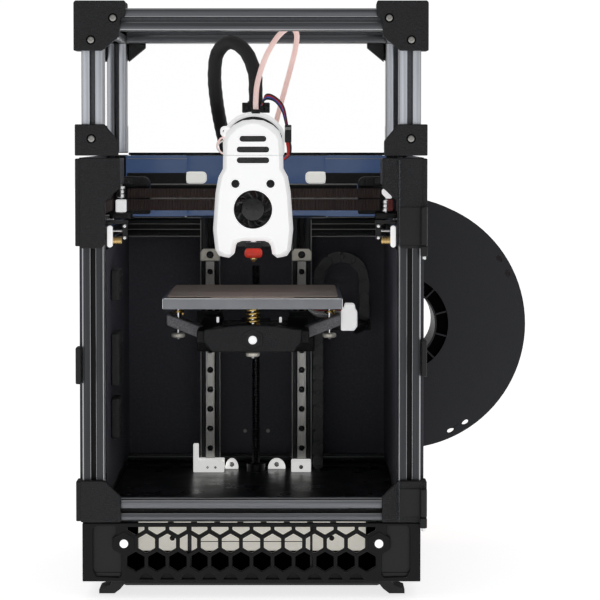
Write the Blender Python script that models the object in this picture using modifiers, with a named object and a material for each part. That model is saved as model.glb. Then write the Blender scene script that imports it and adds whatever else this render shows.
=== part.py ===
"""Enclosed desktop FDM printer with a lift-off top cover, a hinged door and a filament spool behind it.

Blender 4.5 script, metres, +Z up. X runs to the right and Y to the back. All places below are
given from the middle of the frame's front face at floor level, and one empty shifts the whole
printer so that the origin lies under the middle of its bounding box.
"""

import math

import bmesh
import bpy
from mathutils import Matrix, Vector

# ---------------------------------------------------------------- driving dimensions
GAP = 0.0003                    # clearance between touching pieces
BAR = 0.015                     # side of the slotted aluminium bars
FRAME_WIDTH = 0.230
FRAME_DEPTH = 0.230
BASE_Z = 0.0515                 # underside of the base bars
TOP_Z = 0.2995                  # top of the main posts
GANTRY_BEAM_Z = 0.2365          # underside of the upper side and rear bars
COVER_BASE_Z = 0.3015           # underside of the lift-off top cover's posts
COVER_TOP_Z = 0.4006            # top of its upper bars
COVER_CORNER_TOP = 0.4056
SKIRT_BOTTOM = 0.0111
PLATE_PROUD = 0.0045            # how far the printed corner plates stand in front of the bars
HOUSING_OUTER = 0.1192          # outer side of the printed corner plates, from the middle
PANEL = 0.0025                  # thickness of the acrylic panels
DECK_Z = 0.0560                 # underside of the deck panel

Z_COLUMN_X = 0.035
Z_COLUMN_FRONT = 0.1997
Z_RAIL_BOTTOM, Z_RAIL_TOP = 0.0674, 0.2186
SCREW_Y = 0.1900                # lead screw axis
SCREW_RADIUS = 0.0030

BEAM_FRONT = 0.1060             # moving cross beam
BEAM_Z = 0.2645
JOINT_INNER = 0.0750            # inner side of the blocks that carry the cross beam
COWL_FRONT, COWL_BACK = 0.0650, 0.0980
NOZZLE_Y, NOZZLE_Z = 0.0850, 0.2240
FAN_Z, FAN_RADIUS = 0.2623, 0.01365

SHEET_HALF = 0.0600             # half the build sheet's side
PLATE_HALF = 0.0630
BED_FRONT = 0.0455
PLATE_Z = (0.1930, 0.2010)
SHEET_Z = (0.2013, 0.2023)
YOKE_FRONT, YOKE_BACK = 0.0500, 0.0660

SPOOL_X, SPOOL_Z = 0.1136, 0.1645
SPOOL_FRONT, SPOOL_WIDTH = 0.2700, 0.0580
SPOOL_RADIUS, SPOOL_BORE = 0.1000, 0.0280
SPOOL_ARM_RADIUS = 0.0120

DOOR_HALF = 0.1004
DOOR_BACK = -0.0055
DOOR_Z = (0.0530, 0.2987)
HINGE_X, HINGE_Y = 0.1168, -0.0074
KNUCKLE = 0.0025

HEX_PITCH, HEX_ROW, HEX_RADIUS = 0.0143, 0.0124, 0.0067
HEX_ROW_Z = 0.0249              # middle of the lower row of grille holes

SPOOL_HOLDER_BACK = SPOOL_FRONT + SPOOL_WIDTH + 0.0068
LEFT_END = -0.1199
RIGHT_END = SPOOL_X + SPOOL_RADIUS
FRONT_END = HINGE_Y - KNUCKLE
MIDDLE = Vector(((LEFT_END + RIGHT_END) / 2, (FRONT_END + SPOOL_HOLDER_BACK) / 2, 0))

HALF = FRAME_WIDTH / 2
POST_X = HALF - BAR / 2
INNER = HALF - BAR
REAR = FRAME_DEPTH
SIDES = (("left", -1), ("right", 1))

PARTS = bpy.data.collections.new("fdm_printer")
CUTTERS = bpy.data.collections.new("cutters")


# ---------------------------------------------------------------- scene and placing
def clear_scene():
    for obj in list(bpy.data.objects):
        bpy.data.objects.remove(obj)
    for collection in (PARTS, CUTTERS):
        bpy.context.scene.collection.children.link(collection)


def pivot(name, place, parent=None):
    """An empty on a joint's axis; place is from the middle of the frame's front."""
    empty = bpy.data.objects.new(name, None)
    empty["place"] = list(place)
    PARTS.objects.link(empty)
    empty.parent = parent
    empty.location = Vector(place) - (Vector(parent["place"]) if parent else MIDDLE)
    return empty


def finish(obj, place, parent, material):
    """Puts a new object at a place, under its body's empty, with its material."""
    PARTS.objects.link(obj)
    obj.parent = parent
    obj.location = Vector(place) - Vector(parent["place"])
    obj.data.materials.append(material)
    return obj


def material(name, colour, roughness=0.5, metallic=0.0, alpha=1.0):
    made = bpy.data.materials.new(name)
    made.use_nodes = True
    shader = made.node_tree.nodes["Principled BSDF"]
    shader.inputs["Base Color"].default_value = (*colour, 1)
    shader.inputs["Roughness"].default_value = roughness
    shader.inputs["Metallic"].default_value = metallic
    shader.inputs["Alpha"].default_value = alpha
    made.diffuse_color = (*colour, alpha)
    return made


# ---------------------------------------------------------------- shapes
def box(name, low, high, parent, finish_material):
    low, high = Vector(low), Vector(high)
    mesh = bpy.data.meshes.new(name)
    form = bmesh.new()
    bmesh.ops.create_cube(form, size=1)
    bmesh.ops.scale(form, vec=high - low, verts=form.verts)
    form.to_mesh(mesh)
    form.free()
    return finish(bpy.data.objects.new(name, mesh), (low + high) / 2, parent, finish_material)


def cylinder(name, centre, radius, length, parent, finish_material, axis="Z", steps=24, radius_2=None):
    mesh = bpy.data.meshes.new(name)
    form = bmesh.new()
    top = radius if radius_2 is None else radius_2
    bmesh.ops.create_cone(form, cap_ends=True, segments=steps, radius1=radius, radius2=top, depth=length)
    turn = {"X": Matrix.Rotation(math.pi / 2, 3, "Y"), "Y": Matrix.Rotation(math.pi / 2, 3, "X")}
    if axis in turn:
        bmesh.ops.rotate(form, matrix=turn[axis], verts=form.verts)
    form.to_mesh(mesh)
    form.free()
    return finish(bpy.data.objects.new(name, mesh), centre, parent, finish_material)


TURNS = {"Z": (0, 0, 0), "Y": (math.pi / 2, 0, 0), "X": (math.pi / 2, 0, math.pi / 2)}


def prism(name, outlines, start, end, parent, finish_material, axis="Y", centre=(0, 0)):
    """Flat outlines, given across the axis in row order of the other two axes, drawn out along it."""
    curve = bpy.data.curves.new(name, "CURVE")
    curve.dimensions = "2D"
    curve.fill_mode = "BOTH"
    curve.extrude = (end - start) / 2
    for outline in outlines:
        spline = curve.splines.new("POLY")
        spline.points.add(len(outline) - 1)
        for point, (u, v) in zip(spline.points, outline):
            point.co = (u, v, 0, 1)
        spline.use_cyclic_u = True
    obj = bpy.data.objects.new(name, curve)
    obj.rotation_euler = TURNS[axis]
    along = (start + end) / 2
    places = {
        "X": (along, centre[0], centre[1]),
        "Y": (centre[0], along, centre[1]),
        "Z": (centre[0], centre[1], along),
    }
    return finish(obj, places[axis], parent, finish_material)


def turned(name, profile, centre, parent, finish_material, axis="Z", steps=32, closed=False):
    """A profile of (radius, height) points, outer side from top to bottom, spun about the axis."""
    mesh = bpy.data.meshes.new(name)
    edges = [(i, i + 1) for i in range(len(profile) - 1)]
    if closed:
        edges.append((len(profile) - 1, 0))
    mesh.from_pydata([(radius, 0, height) for radius, height in profile], edges, [])
    obj = bpy.data.objects.new(name, mesh)
    obj.rotation_euler = TURNS[axis]
    spin = obj.modifiers.new("spin", "SCREW")
    spin.steps = spin.render_steps = steps
    spin.use_merge_vertices = True
    spin.merge_threshold = 0.00001
    return finish(obj, centre, parent, finish_material)


def tube(name, points, radius, parent, finish_material, resolution=2):
    """A round cord along a smooth curve through the given points."""
    curve = bpy.data.curves.new(name, "CURVE")
    curve.dimensions = "3D"
    curve.bevel_depth = radius
    curve.bevel_resolution = resolution
    curve.use_fill_caps = True
    spline = curve.splines.new("POLY")
    route = smooth_route(points, 3 * radius)
    spline.points.add(len(route) - 1)
    start = route[0]
    for point, place in zip(spline.points, route):
        point.co = (*(place - start), 1)
    return finish(bpy.data.objects.new(name, curve), start, parent, finish_material)


def smooth_route(points, step):
    """Points about a step apart on a Catmull-Rom curve through the given ones."""
    knots = [Vector(p) for p in points]
    knots = [2 * knots[0] - knots[1], *knots, 2 * knots[-1] - knots[-2]]
    route = []
    for a, b, c, d in zip(knots, knots[1:], knots[2:], knots[3:]):
        count = max(1, round((c - b).length / step))
        for i in range(count):
            t = i / count
            route.append(0.5 * (2 * b + (c - a) * t + (2 * a - 5 * b + 4 * c - d) * t ** 2
                                + (3 * b - a - 3 * c + d) * t ** 3))
    route.append(knots[-2])
    return route


def as_mesh(obj):
    """A curve or a piece with modifiers, made a plain closed mesh in the same place."""
    bpy.context.view_layer.update()
    graph = bpy.context.evaluated_depsgraph_get()
    mesh = bpy.data.meshes.new_from_object(obj.evaluated_get(graph))
    form = bmesh.new()
    form.from_mesh(mesh)
    bmesh.ops.remove_doubles(form, verts=form.verts, dist=0.00001)
    form.to_mesh(mesh)
    form.free()
    name, world, parent = obj.name, obj.matrix_world.copy(), obj.parent
    collection = obj.users_collection[0]
    bpy.data.objects.remove(obj)
    made = bpy.data.objects.new(name, mesh)
    collection.objects.link(made)
    made.parent = parent
    made.matrix_world = world
    return made


def combine(target, others, operation="UNION"):
    """Joins the others to the target, or cuts them from it; they become hidden helpers."""
    if target.type == "CURVE" or target.modifiers:
        target = as_mesh(target)
    for number, other in enumerate(others):
        if other.type == "CURVE" or other.modifiers:
            other = as_mesh(other)
        for collection in list(other.users_collection):
            collection.objects.unlink(other)
        CUTTERS.objects.link(other)
        other.name = f"{target.name}_{operation.lower()}_{len(CUTTERS.objects)}_{number}"
        other.hide_render = True
        other.display_type = "WIRE"
        step = target.modifiers.new(f"{operation.lower()}_{number}", "BOOLEAN")
        step.operation = operation
        step.solver = "EXACT"
        step.object = other
    return target


def rounded(low, high, radius, steps=4):
    """The outline of a rectangle with round corners."""
    points = []
    corners = ((high[0], high[1], 0), (low[0], high[1], 1), (low[0], low[1], 2), (high[0], low[1], 3))
    for x, y, quarter in corners:
        cx = x - radius if quarter in (0, 3) else x + radius
        cy = y - radius if quarter in (0, 1) else y + radius
        for i in range(steps + 1):
            angle = math.pi / 2 * (quarter + i / steps)
            points.append((cx + radius * math.cos(angle), cy + radius * math.sin(angle)))
    return points


def mirrored(outline, side):
    """An outline given for the left, and the same for the right when side is 1."""
    return outline if side < 0 else [(-x, y) for x, y in reversed(outline)]


def spans(side, inner, outer):
    """The lower and higher X of a stretch at these distances from the middle."""
    return (inner, outer) if side > 0 else (-outer, -inner)


# ---------------------------------------------------------------- slotted bars
def slot_profile():
    """A square bar with an undercut slot in the middle of each side."""
    half, corner = BAR / 2, 0.0009
    mouth, lip, lip_chamfer = 0.0016, 0.0019, 0.0005
    pocket, floor, depth = 0.0029, 0.0015, 0.0042
    side = [
        (half, half - corner), (half - corner, half), (mouth + lip_chamfer, half),
        (mouth, half - lip_chamfer), (mouth, half - lip), (pocket, half - lip),
        (floor, half - depth), (-floor, half - depth), (-pocket, half - lip),
        (-mouth, half - lip), (-mouth, half - lip_chamfer), (-mouth - lip_chamfer, half),
    ]
    points = []
    for quarter in range(4):
        c, s = round(math.cos(quarter * math.pi / 2)), round(math.sin(quarter * math.pi / 2))
        points += [(c * x - s * y, s * x + c * y) for x, y in side]
    return points


def bar(name, axis, centre, start, end, parent, finish_material):
    return prism(name, [slot_profile()], start, end, parent, finish_material, axis, centre)


def build_frame(body, paint):
    for side, sign in SIDES:
        for place, y in (("front", BAR / 2), ("rear", REAR - BAR / 2)):
            bar(f"post_{place}_{side}", "Z", (sign * POST_X, y), BASE_Z, TOP_Z, body, paint["aluminium"])
        bar(f"base_beam_{side}", "Y", (sign * POST_X, BASE_Z + BAR / 2), BAR + GAP, REAR - BAR - GAP,
            body, paint["aluminium"])
        bar(f"upper_beam_{side}", "Y", (sign * POST_X, GANTRY_BEAM_Z + BAR / 2), BAR + GAP,
            REAR - BAR - GAP, body, paint["aluminium"])
        bar(f"z_column_{side}", "Z", (sign * Z_COLUMN_X, Z_COLUMN_FRONT + BAR / 2), DECK_Z + PANEL + GAP,
            GANTRY_BEAM_Z + BAR, body, paint["dark_aluminium"])
        box(f"z_rail_{side}", (sign * Z_COLUMN_X - 0.0035, Z_COLUMN_FRONT - 0.0053, Z_RAIL_BOTTOM),
            (sign * Z_COLUMN_X + 0.0035, Z_COLUMN_FRONT - GAP, Z_RAIL_TOP), body, paint["steel"])
    for place, y in (("front", BAR / 2), ("rear", REAR - BAR / 2)):
        bar(f"base_beam_{place}", "X", (y, BASE_Z + BAR / 2), -INNER + GAP, INNER - GAP, body,
            paint["aluminium"])
    bar("upper_beam_rear", "X", (REAR - BAR / 2, GANTRY_BEAM_Z + BAR / 2), -INNER + GAP, INNER - GAP,
        body, paint["aluminium"])


# ---------------------------------------------------------------- printed corners and covers
def build_corners(body, paint):
    black = paint["black_print"]
    front, back = -PLATE_PROUD, -GAP
    outer = HALF + 0.0008
    for side, sign in SIDES:
        plate = [(-outer, 0.2382), (-0.1015, 0.2382), (-0.0989, 0.2410), (-0.0989, 0.2698),
                 (-0.0888, 0.2794), (-0.0888, TOP_Z), (-outer, TOP_Z)]
        housing = prism(f"idler_housing_{side}", [mirrored(plate, sign)], front, back, body, black)
        shelf_x = spans(sign, 0.0888, INNER - GAP)
        flange_x = spans(sign, HALF + GAP, HOUSING_OUTER)
        joined = [
            box("shelf", (shelf_x[0], front + 0.001, 0.2805), (shelf_x[1], 0.0360, TOP_Z - 0.0005), body, black),
            box("flange", (flange_x[0], front + 0.001, 0.2400), (flange_x[1], 0.0112, TOP_Z - 0.0005), body, black),
        ]
        if sign > 0:
            joined.append(box("hinge_lug", (0.1140, HINGE_Y - 0.0020, 0.2300), (HOUSING_OUTER, -0.0020, 0.2400),
                              body, black))
            joined.append(box("lug_root", (0.1120, -PLATE_PROUD + 0.0005, 0.2300), (0.1150, -0.0005, 0.2420),
                              body, black))
        combine(housing, joined)

        block = [(-outer, 0.0518), (-0.0888, 0.0518), (-0.0888, 0.0694), (-0.0994, 0.0801), (-outer, 0.0801)]
        corner = prism(f"base_corner_{side}", [mirrored(block, sign)], front, back, body, black)
        joined = [box("flange", (flange_x[0], front + 0.001, 0.0525), (flange_x[1], 0.0112, 0.0815), body, black)]
        if sign > 0:
            joined.append(box("hinge_lug", (0.1140, HINGE_Y - 0.0020, 0.0522), (HOUSING_OUTER, -0.0020, 0.0556),
                              body, black))
        combine(corner, joined)


# ---------------------------------------------------------------- base
def hexagon(x, z, radius):
    return [(x + radius * math.sin(k * math.pi / 3), z + radius * math.cos(k * math.pi / 3)) for k in range(6)]


def grille_holes():
    """Hexagonal holes in three staggered rows, the top row cut off by the rim."""
    holes = []
    rim = BASE_Z - 0.0028
    for row, (count, shift) in enumerate(((12, 0.5), (11, 0.0), (12, 0.5))):
        for k in range(count):
            x = (k - (count - 1) / 2) * HEX_PITCH
            points = hexagon(x, HEX_ROW_Z + row * HEX_ROW, HEX_RADIUS)
            if row == 2:
                flat = HEX_RADIUS * math.cos(math.pi / 6)
                base = HEX_ROW_Z + row * HEX_ROW
                points = [(x - flat, rim), (x - flat, base - HEX_RADIUS / 2), (x, base - HEX_RADIUS),
                          (x + flat, base - HEX_RADIUS / 2), (x + flat, rim)]
            holes.append(points)
    return holes


def build_base(body, paint):
    black = paint["black_print"]
    top = BASE_Z - GAP
    outline = [(-HALF, SKIRT_BOTTOM), (HALF, SKIRT_BOTTOM), (HALF, top), (-HALF, top)]
    prism("skirt_front", [outline, *grille_holes()], -0.0040, 0, body, black)

    wall = 0.003
    surround = box("skirt_surround", (-HALF, GAP, SKIRT_BOTTOM), (HALF, REAR, top), body, black)
    inside = box("inside", (-HALF + wall, -0.01, SKIRT_BOTTOM + 0.0025), (HALF - wall, REAR - wall, 0.1), body, black)
    inlet = box("inlet", (-0.085, REAR - 0.01, 0.0200), (-0.057, REAR + 0.01, 0.0400), body, black)
    combine(surround, [inside, inlet], "DIFFERENCE")

    foot = [(-0.1050, 0), (-0.0945, 0), (-0.0905, 0.0030), (-0.0862, 0.0082), (-0.0870, SKIRT_BOTTOM - GAP),
            (-0.0935, SKIRT_BOTTOM - GAP), (-0.0975, 0.0058), (-0.1050, 0.0028)]
    for side, sign in SIDES:
        for place, y in (("front", 0.0120), ("rear", REAR - 0.0340)):
            prism(f"foot_{place}_{side}", [mirrored(foot, sign)], y, y + 0.0220, body, paint["rubber"])

    box("power_supply", (-0.0795, 0.0182, 0.0275), (0.0795, 0.1150, DECK_Z - GAP), body, paint["zinc"])
    motor = box("z_motor", (-0.0176, SCREW_Y - 0.0176, 0.0200), (0.0176, SCREW_Y + 0.0176, DECK_Z - GAP),
                body, paint["motor"])
    motor.modifiers.new("edges", "BEVEL").width = 0.002

    deck = box("deck_panel", (-INNER + GAP, BAR + GAP, DECK_Z), (INNER - GAP, REAR - BAR - GAP, DECK_Z + PANEL),
               body, paint["panel"])
    hole = cylinder("screw_hole", (0, SCREW_Y, DECK_Z), 0.0080, 0.02, body, black)
    combine(deck, [hole], "DIFFERENCE")
    for side, sign in SIDES:
        low, high = spans(sign, HALF + GAP, HALF + GAP + PANEL)
        box(f"side_panel_{side}", (low, 0.0120, BASE_Z), (high, REAR, TOP_Z), body, paint["panel"])
    outline = [(-HALF, BASE_Z), (HALF, BASE_Z), (HALF, TOP_Z), (0.1000, TOP_Z), (0.1000, 0.2875),
               (0.1000, 0.2512), (0.0543, 0.2512), (0.0543, 0.2875), (0.0980, 0.2875), (0.0980, TOP_Z),
               (-0.0980, TOP_Z), (-0.0980, 0.2875), (-0.0543, 0.2875), (-0.0543, 0.2512),
               (-0.1000, 0.2512), (-0.1000, 0.2875), (-0.1000, TOP_Z), (-HALF, TOP_Z)]
    prism("rear_panel", [outline], REAR + GAP, REAR + GAP + PANEL, body, paint["panel"])


# ---------------------------------------------------------------- drives
def build_drives(body, paint):
    for side, sign in SIDES:
        x = spans(sign, 0.0546, INNER - 2 * GAP)
        floor = box(f"drive_unit_{side}", (x[0], 0.2020, 0.2518), (x[1], 0.2700 - 2 * GAP, 0.2560), body,
                    paint["black_print"])
        wall_x = spans(sign, 0.0560, 0.0600)
        motor_x = spans(sign, 0.0600, 0.0950)
        joined = [
            box("lid", (x[0], 0.2020, 0.2828), (x[1], 0.2700 - 2 * GAP, 0.2870), body, paint["black_print"]),
            box("face", (x[0], 0.2024, 0.2540), (x[1], 0.2064, 0.2850), body, paint["black_print"]),
            box("wall", (wall_x[0], 0.2050, 0.2540), (wall_x[1], 0.2650, 0.2850), body, paint["black_print"]),
            box("motor", (motor_x[0], 0.2340, 0.2255), (motor_x[1], 0.2690, 0.2530), body, paint["motor"]),
        ]
        combine(floor, joined)
    cylinder("lead_screw", (0, SCREW_Y, 0.1361), SCREW_RADIUS, 0.1600, pivots["screw"], paint["steel"], steps=16)
    bracket = box("cable_bracket", (-0.0230, 0.2155, 0.2518), (0.0150, 0.2295, 0.2700), body, paint["black_print"])
    slot = box("slot", (-0.0060, 0.2100, 0.2600), (0.0010, 0.2400, 0.2800), body, paint["black_print"])
    combine(bracket, [slot], "DIFFERENCE")


def chain_outline():
    """The side view of a cable chain: a long leg, half a turn and a short leg."""
    half_band, left, right = 0.0045, 0.0475, 0.0830
    foot, arch_z, end = DECK_Z + PANEL + 2 * GAP, 0.2043, 0.1740
    centre, radius = (left + right) / 2, (right - left) / 2
    outer = [(centre + (radius + half_band) * math.cos(math.pi * (1 - i / 10)),
              arch_z + (radius + half_band) * math.sin(math.pi * (1 - i / 10))) for i in range(11)]
    inner = [(centre + (radius - half_band) * math.cos(math.pi * i / 10),
              arch_z + (radius - half_band) * math.sin(math.pi * i / 10)) for i in range(11)]
    return [(left - half_band, foot), *outer, (right + half_band, end), (right - half_band, end), *inner,
            (left + half_band, foot)]


# ---------------------------------------------------------------- gantry and toolhead
def build_gantry(body, paint):
    bar("x_beam", "X", (BEAM_FRONT + BAR / 2, BEAM_Z + BAR / 2), -JOINT_INNER + GAP, JOINT_INNER - GAP,
        body, paint["dark_aluminium"])
    rail_z = BEAM_Z + BAR / 2
    box("x_rail", (-JOINT_INNER + GAP, BEAM_FRONT - 0.0045, rail_z - 0.0035),
        (JOINT_INNER - GAP, BEAM_FRONT - GAP, rail_z + 0.0035), body, paint["steel"])
    for side, sign in SIDES:
        x = spans(sign, JOINT_INNER, HALF)
        ear = spans(sign, 0.0880, 0.1030)
        block = box(f"xy_joint_{side}", (x[0], 0.1058, 0.2575), (x[1], 0.1215, 0.2850), body, paint["black_print"])
        joined = [
            box("upper_ear", (ear[0], 0.0945, 0.2797), (ear[1], 0.1070, 0.2835), body, paint["black_print"]),
            box("lower_ear", (ear[0], 0.0945, 0.2545), (ear[1], 0.1070, 0.2587), body, paint["black_print"]),
        ]
        combine(block, joined)
    head_exit, rear_exit = (0.0015, 0.1090, 0.3388), (-0.0140, 0.2222, 0.2724)
    tube("umbilical_cable", [head_exit, (0.0012, 0.1092, 0.3480), (0.0005, 0.1100, 0.3600), (-0.0060, 0.1145, 0.3755),
                             (-0.0172, 0.1215, 0.3826), (-0.0268, 0.1300, 0.3755), (-0.0295, 0.1380, 0.3600),
                             (-0.0286, 0.1490, 0.3420), (-0.0262, 0.1680, 0.3240), (-0.0225, 0.1900, 0.3060),
                             (-0.0175, 0.2090, 0.2910), (-0.0145, 0.2212, 0.2790), rear_exit],
         0.0052, body, paint["black_rubber"], resolution=3)
    tube("filament_tube", [(0.0015, 0.1010, 0.3322), (0.0015, 0.1006, 0.3400), (0.0028, 0.1012, 0.3530),
                           (0.0085, 0.1050, 0.3710), (0.0175, 0.1130, 0.3865), (0.0262, 0.1230, 0.3932),
                           (0.0310, 0.1310, 0.3890), (0.0300, 0.1380, 0.3780), (0.0265, 0.1470, 0.3640),
                           (0.0212, 0.1600, 0.3450), (0.0165, 0.1740, 0.3280), (0.0120, 0.1900, 0.3110),
                           (0.0085, 0.2085, 0.2935), (0.0068, 0.2208, 0.2800), (0.0060, 0.2222, 0.2712)],
         0.0020, body, paint["tube"])


def cowl_outline(inset=0.0):
    """Front view of the toolhead cowl: rounded top, waist, flared sides and two cooling legs."""
    right = [(0.0075, 0.3252), (0.0140, 0.3222), (0.0186, 0.3176), (0.0206, 0.3110), (0.0212, 0.3000),
             (0.0214, 0.2910), (0.0246, 0.2850), (0.0266, 0.2740), (0.0284, 0.2480), (0.0268, 0.2335),
             (0.0240, 0.2293)]
    right = [(x - inset, z - (inset if z > 0.3150 else 0)) for x, z in right]
    right += [(0.0170, 0.2280 + inset), (0.0136 + inset, 0.2300 + inset), (0.0126 + inset, 0.2362),
              (0.0112 + inset, 0.2386 + inset), (0.0080, 0.2398 + inset)]
    return [(0, 0.3260 - inset), *right, *[(-x, z) for x, z in reversed(right)]]


def build_toolhead(body, paint):
    white, black = paint["white_print"], paint["black_print"]
    cowl = prism("toolhead_cowl", [cowl_outline()], COWL_FRONT, COWL_BACK, body, white)
    hollow = prism("hollow", [cowl_outline(0.002)], COWL_FRONT + 0.002, COWL_BACK + 0.01, body, white)
    fan_hole = cylinder("fan_hole", (0, COWL_FRONT, FAN_Z), FAN_RADIUS, 0.02, body, white, axis="Y", steps=32)
    nozzle_way = box("nozzle_way", (-0.0104, COWL_FRONT + 0.0060, 0.2200), (0.0104, COWL_BACK + 0.01, 0.2500), body,
                     white)
    cuts = [hollow, fan_hole, nozzle_way]
    for row in range(3):
        z = 0.2950 + row * 0.0078
        cuts.append(prism("vent", [rounded((-0.0110, z), (0.0110, z + 0.0042), 0.0020)], COWL_FRONT - 0.01,
                          COWL_FRONT + 0.01, body, white))
    for row in range(2):
        x = (row - 0.5) * 0.025
        cuts.append(cylinder("screw_hole", (x, COWL_FRONT, 0.2804), 0.0026, 0.02, body, white, axis="Y", steps=16))
    combine(cowl, cuts, "DIFFERENCE")

    plate = box("toolhead_carriage", (-0.0190, COWL_BACK + GAP, 0.2400), (0.0190, 0.1012, 0.3000), body, black)
    grips = [box("grip", (-0.0115, 0.1000, z), (0.0115, 0.1052, z + 0.0030), body, black)
             for z in (BEAM_Z + 0.0005, BEAM_Z + BAR - 0.0035)]
    combine(plate, grips)

    radius, centre_z = 0.0240, 0.3077
    arc = [(radius * math.sin(math.radians(a)), centre_z + radius * math.cos(math.radians(a)))
           for a in range(-70, 71, 14)]
    outline = [*arc, (0.0225, 0.3003), (-0.0225, 0.3003)]
    extruder = prism("extruder", [outline], COWL_BACK + GAP, 0.1240, body, white)
    socket = box("socket", (-0.0085, 0.1050, 0.3250), (0.0115, 0.1130, 0.3385), body, black)
    combine(extruder, [socket])

    hotend = cylinder("hotend", (0, NOZZLE_Y, 0.2580), 0.0090, 0.0220, body, paint["steel"])
    joined = [
        cylinder("throat", (0, NOZZLE_Y, 0.2430), 0.0025, 0.0100, body, paint["steel"], steps=12),
        box("heater", (-0.0070, NOZZLE_Y - 0.0070, 0.2268), (0.0070, NOZZLE_Y + 0.0070, 0.2390), body,
            paint["red_silicone"]),
        cylinder("nozzle", (0, NOZZLE_Y, (NOZZLE_Z + 0.2275) / 2), 0.0006, 0.2275 - NOZZLE_Z, body,
                 paint["brass"], steps=16, radius_2=0.0030),
    ]
    combine(hotend, joined)


def build_fan(body, paint):
    """Hub and blades of the round fan behind the cowl's opening."""
    place = (0, COWL_FRONT + 0.0055, FAN_Z)
    hub = cylinder("hotend_fan_rotor", place, 0.0083, 0.0060, body, paint["fan"], axis="Y")
    blades = []
    for k in range(7):
        angle = 2 * math.pi * k / 7
        blade = box("blade", (0.0070, place[1] - 0.0020, FAN_Z - 0.0006), (0.0128, place[1] + 0.0020, FAN_Z + 0.0006),
                    body, paint["fan"])
        swing = Matrix.Rotation(angle, 4, "Y") @ Matrix.Translation((0.0099, 0, 0)) @ Matrix.Rotation(0.6, 4, "X")
        blade.location = (0, 0, 0)
        blade.matrix_basis = swing
        blades.append(blade)
    combine(hub, blades)


# ---------------------------------------------------------------- bed
def build_bed(body, sheet_body, paint):
    black = paint["black_print"]
    centre = [(-0.0345, 0.1700), (-0.0285, 0.1626), (0.0285, 0.1626), (0.0345, 0.1700), (0.0345, 0.1795),
              (0.0200, 0.1812), (0, 0.1820), (-0.0200, 0.1812), (-0.0345, 0.1795)]
    carrier = prism("bed_carrier", [centre], YOKE_FRONT, YOKE_BACK, body, black)
    joined = []
    for side, sign in SIDES:
        arm = [(-0.0625, 0.1862), (-0.0625, 0.1782), (-0.0335, 0.1670), (-0.0325, 0.1670), (-0.0325, 0.1750)]
        joined.append(prism("arm", [mirrored(arm, sign)], 0.0900, 0.1080, body, black))
        rail_x = spans(sign, 0.0240, 0.0400)
        joined.append(box("side_rail", (rail_x[0], 0.0640, 0.1680), (rail_x[1], 0.1870, 0.1770), body, black))
        plate_x = spans(sign, 0.0250, 0.0450)
        joined.append(box("slide_plate", (plate_x[0], 0.1865, 0.1500), (plate_x[1], 0.1940, 0.1810), body, black))
    joined.append(box("nut_beam", (-0.0300, 0.1700, 0.1650), (0.0300, 0.1800, 0.1750), body, black))
    joined.append(box("nut_block", (-0.0110, 0.1780, 0.1650), (0.0110, 0.2010, 0.1750), body, black))
    joined.append(box("chain_arm", (0.0400, 0.1880, 0.1660), (0.0880, 0.1930, 0.1730), body, black))
    joined.append(box("chain_end", (0.0780, 0.1880, 0.1660), (0.0880, 0.2100, 0.1730), body, black))
    carrier = combine(carrier, joined)
    screw_way = cylinder("screw_way", (0, SCREW_Y, 0.1700), SCREW_RADIUS + 0.0004, 0.04, body, black)
    combine(carrier, [screw_way], "DIFFERENCE")

    back = BED_FRONT + 2 * PLATE_HALF
    plate = prism("bed_plate", [rounded((-PLATE_HALF, BED_FRONT), (PLATE_HALF, back), 0.003, 3)], *PLATE_Z, body,
                  paint["aluminium"], "Z")
    plate.data.resolution_u = 1
    front = BED_FRONT + 0.0025
    prism("build_sheet", [rounded((-SHEET_HALF, front), (SHEET_HALF, front + 2 * SHEET_HALF), 0.003, 3)],
          *SHEET_Z, sheet_body, paint["sheet"], "Z")


KNOBS = {"left": (-0.0546, 0.0980, 0.1705), "right": (0.0546, 0.0980, 0.1705), "front": (0, 0.0580, 0.1605)}


def build_knobs(paint):
    """Thumb nuts under the bed carrier, one under each spring."""
    for place in KNOBS:
        turned(f"levelling_knob_{place}", [(0, 0.0017), (0.0044, 0.0017), (0.0049, 0.0012), (0.0049, -0.0012),
                                           (0.0044, -0.0017), (0, -0.0017)],
               KNOBS[place], pivots[f"knob_{place}"], paint["steel"], steps=20)


# ---------------------------------------------------------------- spool
def build_spool(body, frame_body, paint):
    half, flange = SPOOL_WIDTH / 2, 0.0040
    winding = 0.0860
    profile = [(SPOOL_RADIUS, half), (SPOOL_RADIUS, half - flange), (winding, half - flange),
               (winding, flange - half), (SPOOL_RADIUS, flange - half), (SPOOL_RADIUS, -half),
               (SPOOL_BORE, -half), (SPOOL_BORE, half)]
    turned("spool", profile, (SPOOL_X, SPOOL_FRONT + half, SPOOL_Z), body, paint["spool"], "Y", 48, closed=True)

    arm_z = SPOOL_Z + SPOOL_BORE - SPOOL_ARM_RADIUS - 0.0006
    start, end = REAR + PANEL + 2 * GAP, SPOOL_HOLDER_BACK
    holder = cylinder("spool_holder", (SPOOL_X, (start + end) / 2, arm_z), SPOOL_ARM_RADIUS, end - start,
                      frame_body, paint["black_print"], "Y")
    joined = [
        box("foot_plate", (SPOOL_X - 0.0180, start, arm_z - 0.0350), (SPOOL_X + 0.0060, start + 0.0050, arm_z + 0.0300),
            frame_body, paint["black_print"]),
        cylinder("end_stop", (SPOOL_X, end - 0.0020, arm_z + 0.0040), 0.0150, 0.0040, frame_body,
                 paint["black_print"], "Y"),
    ]
    combine(holder, joined)


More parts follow.
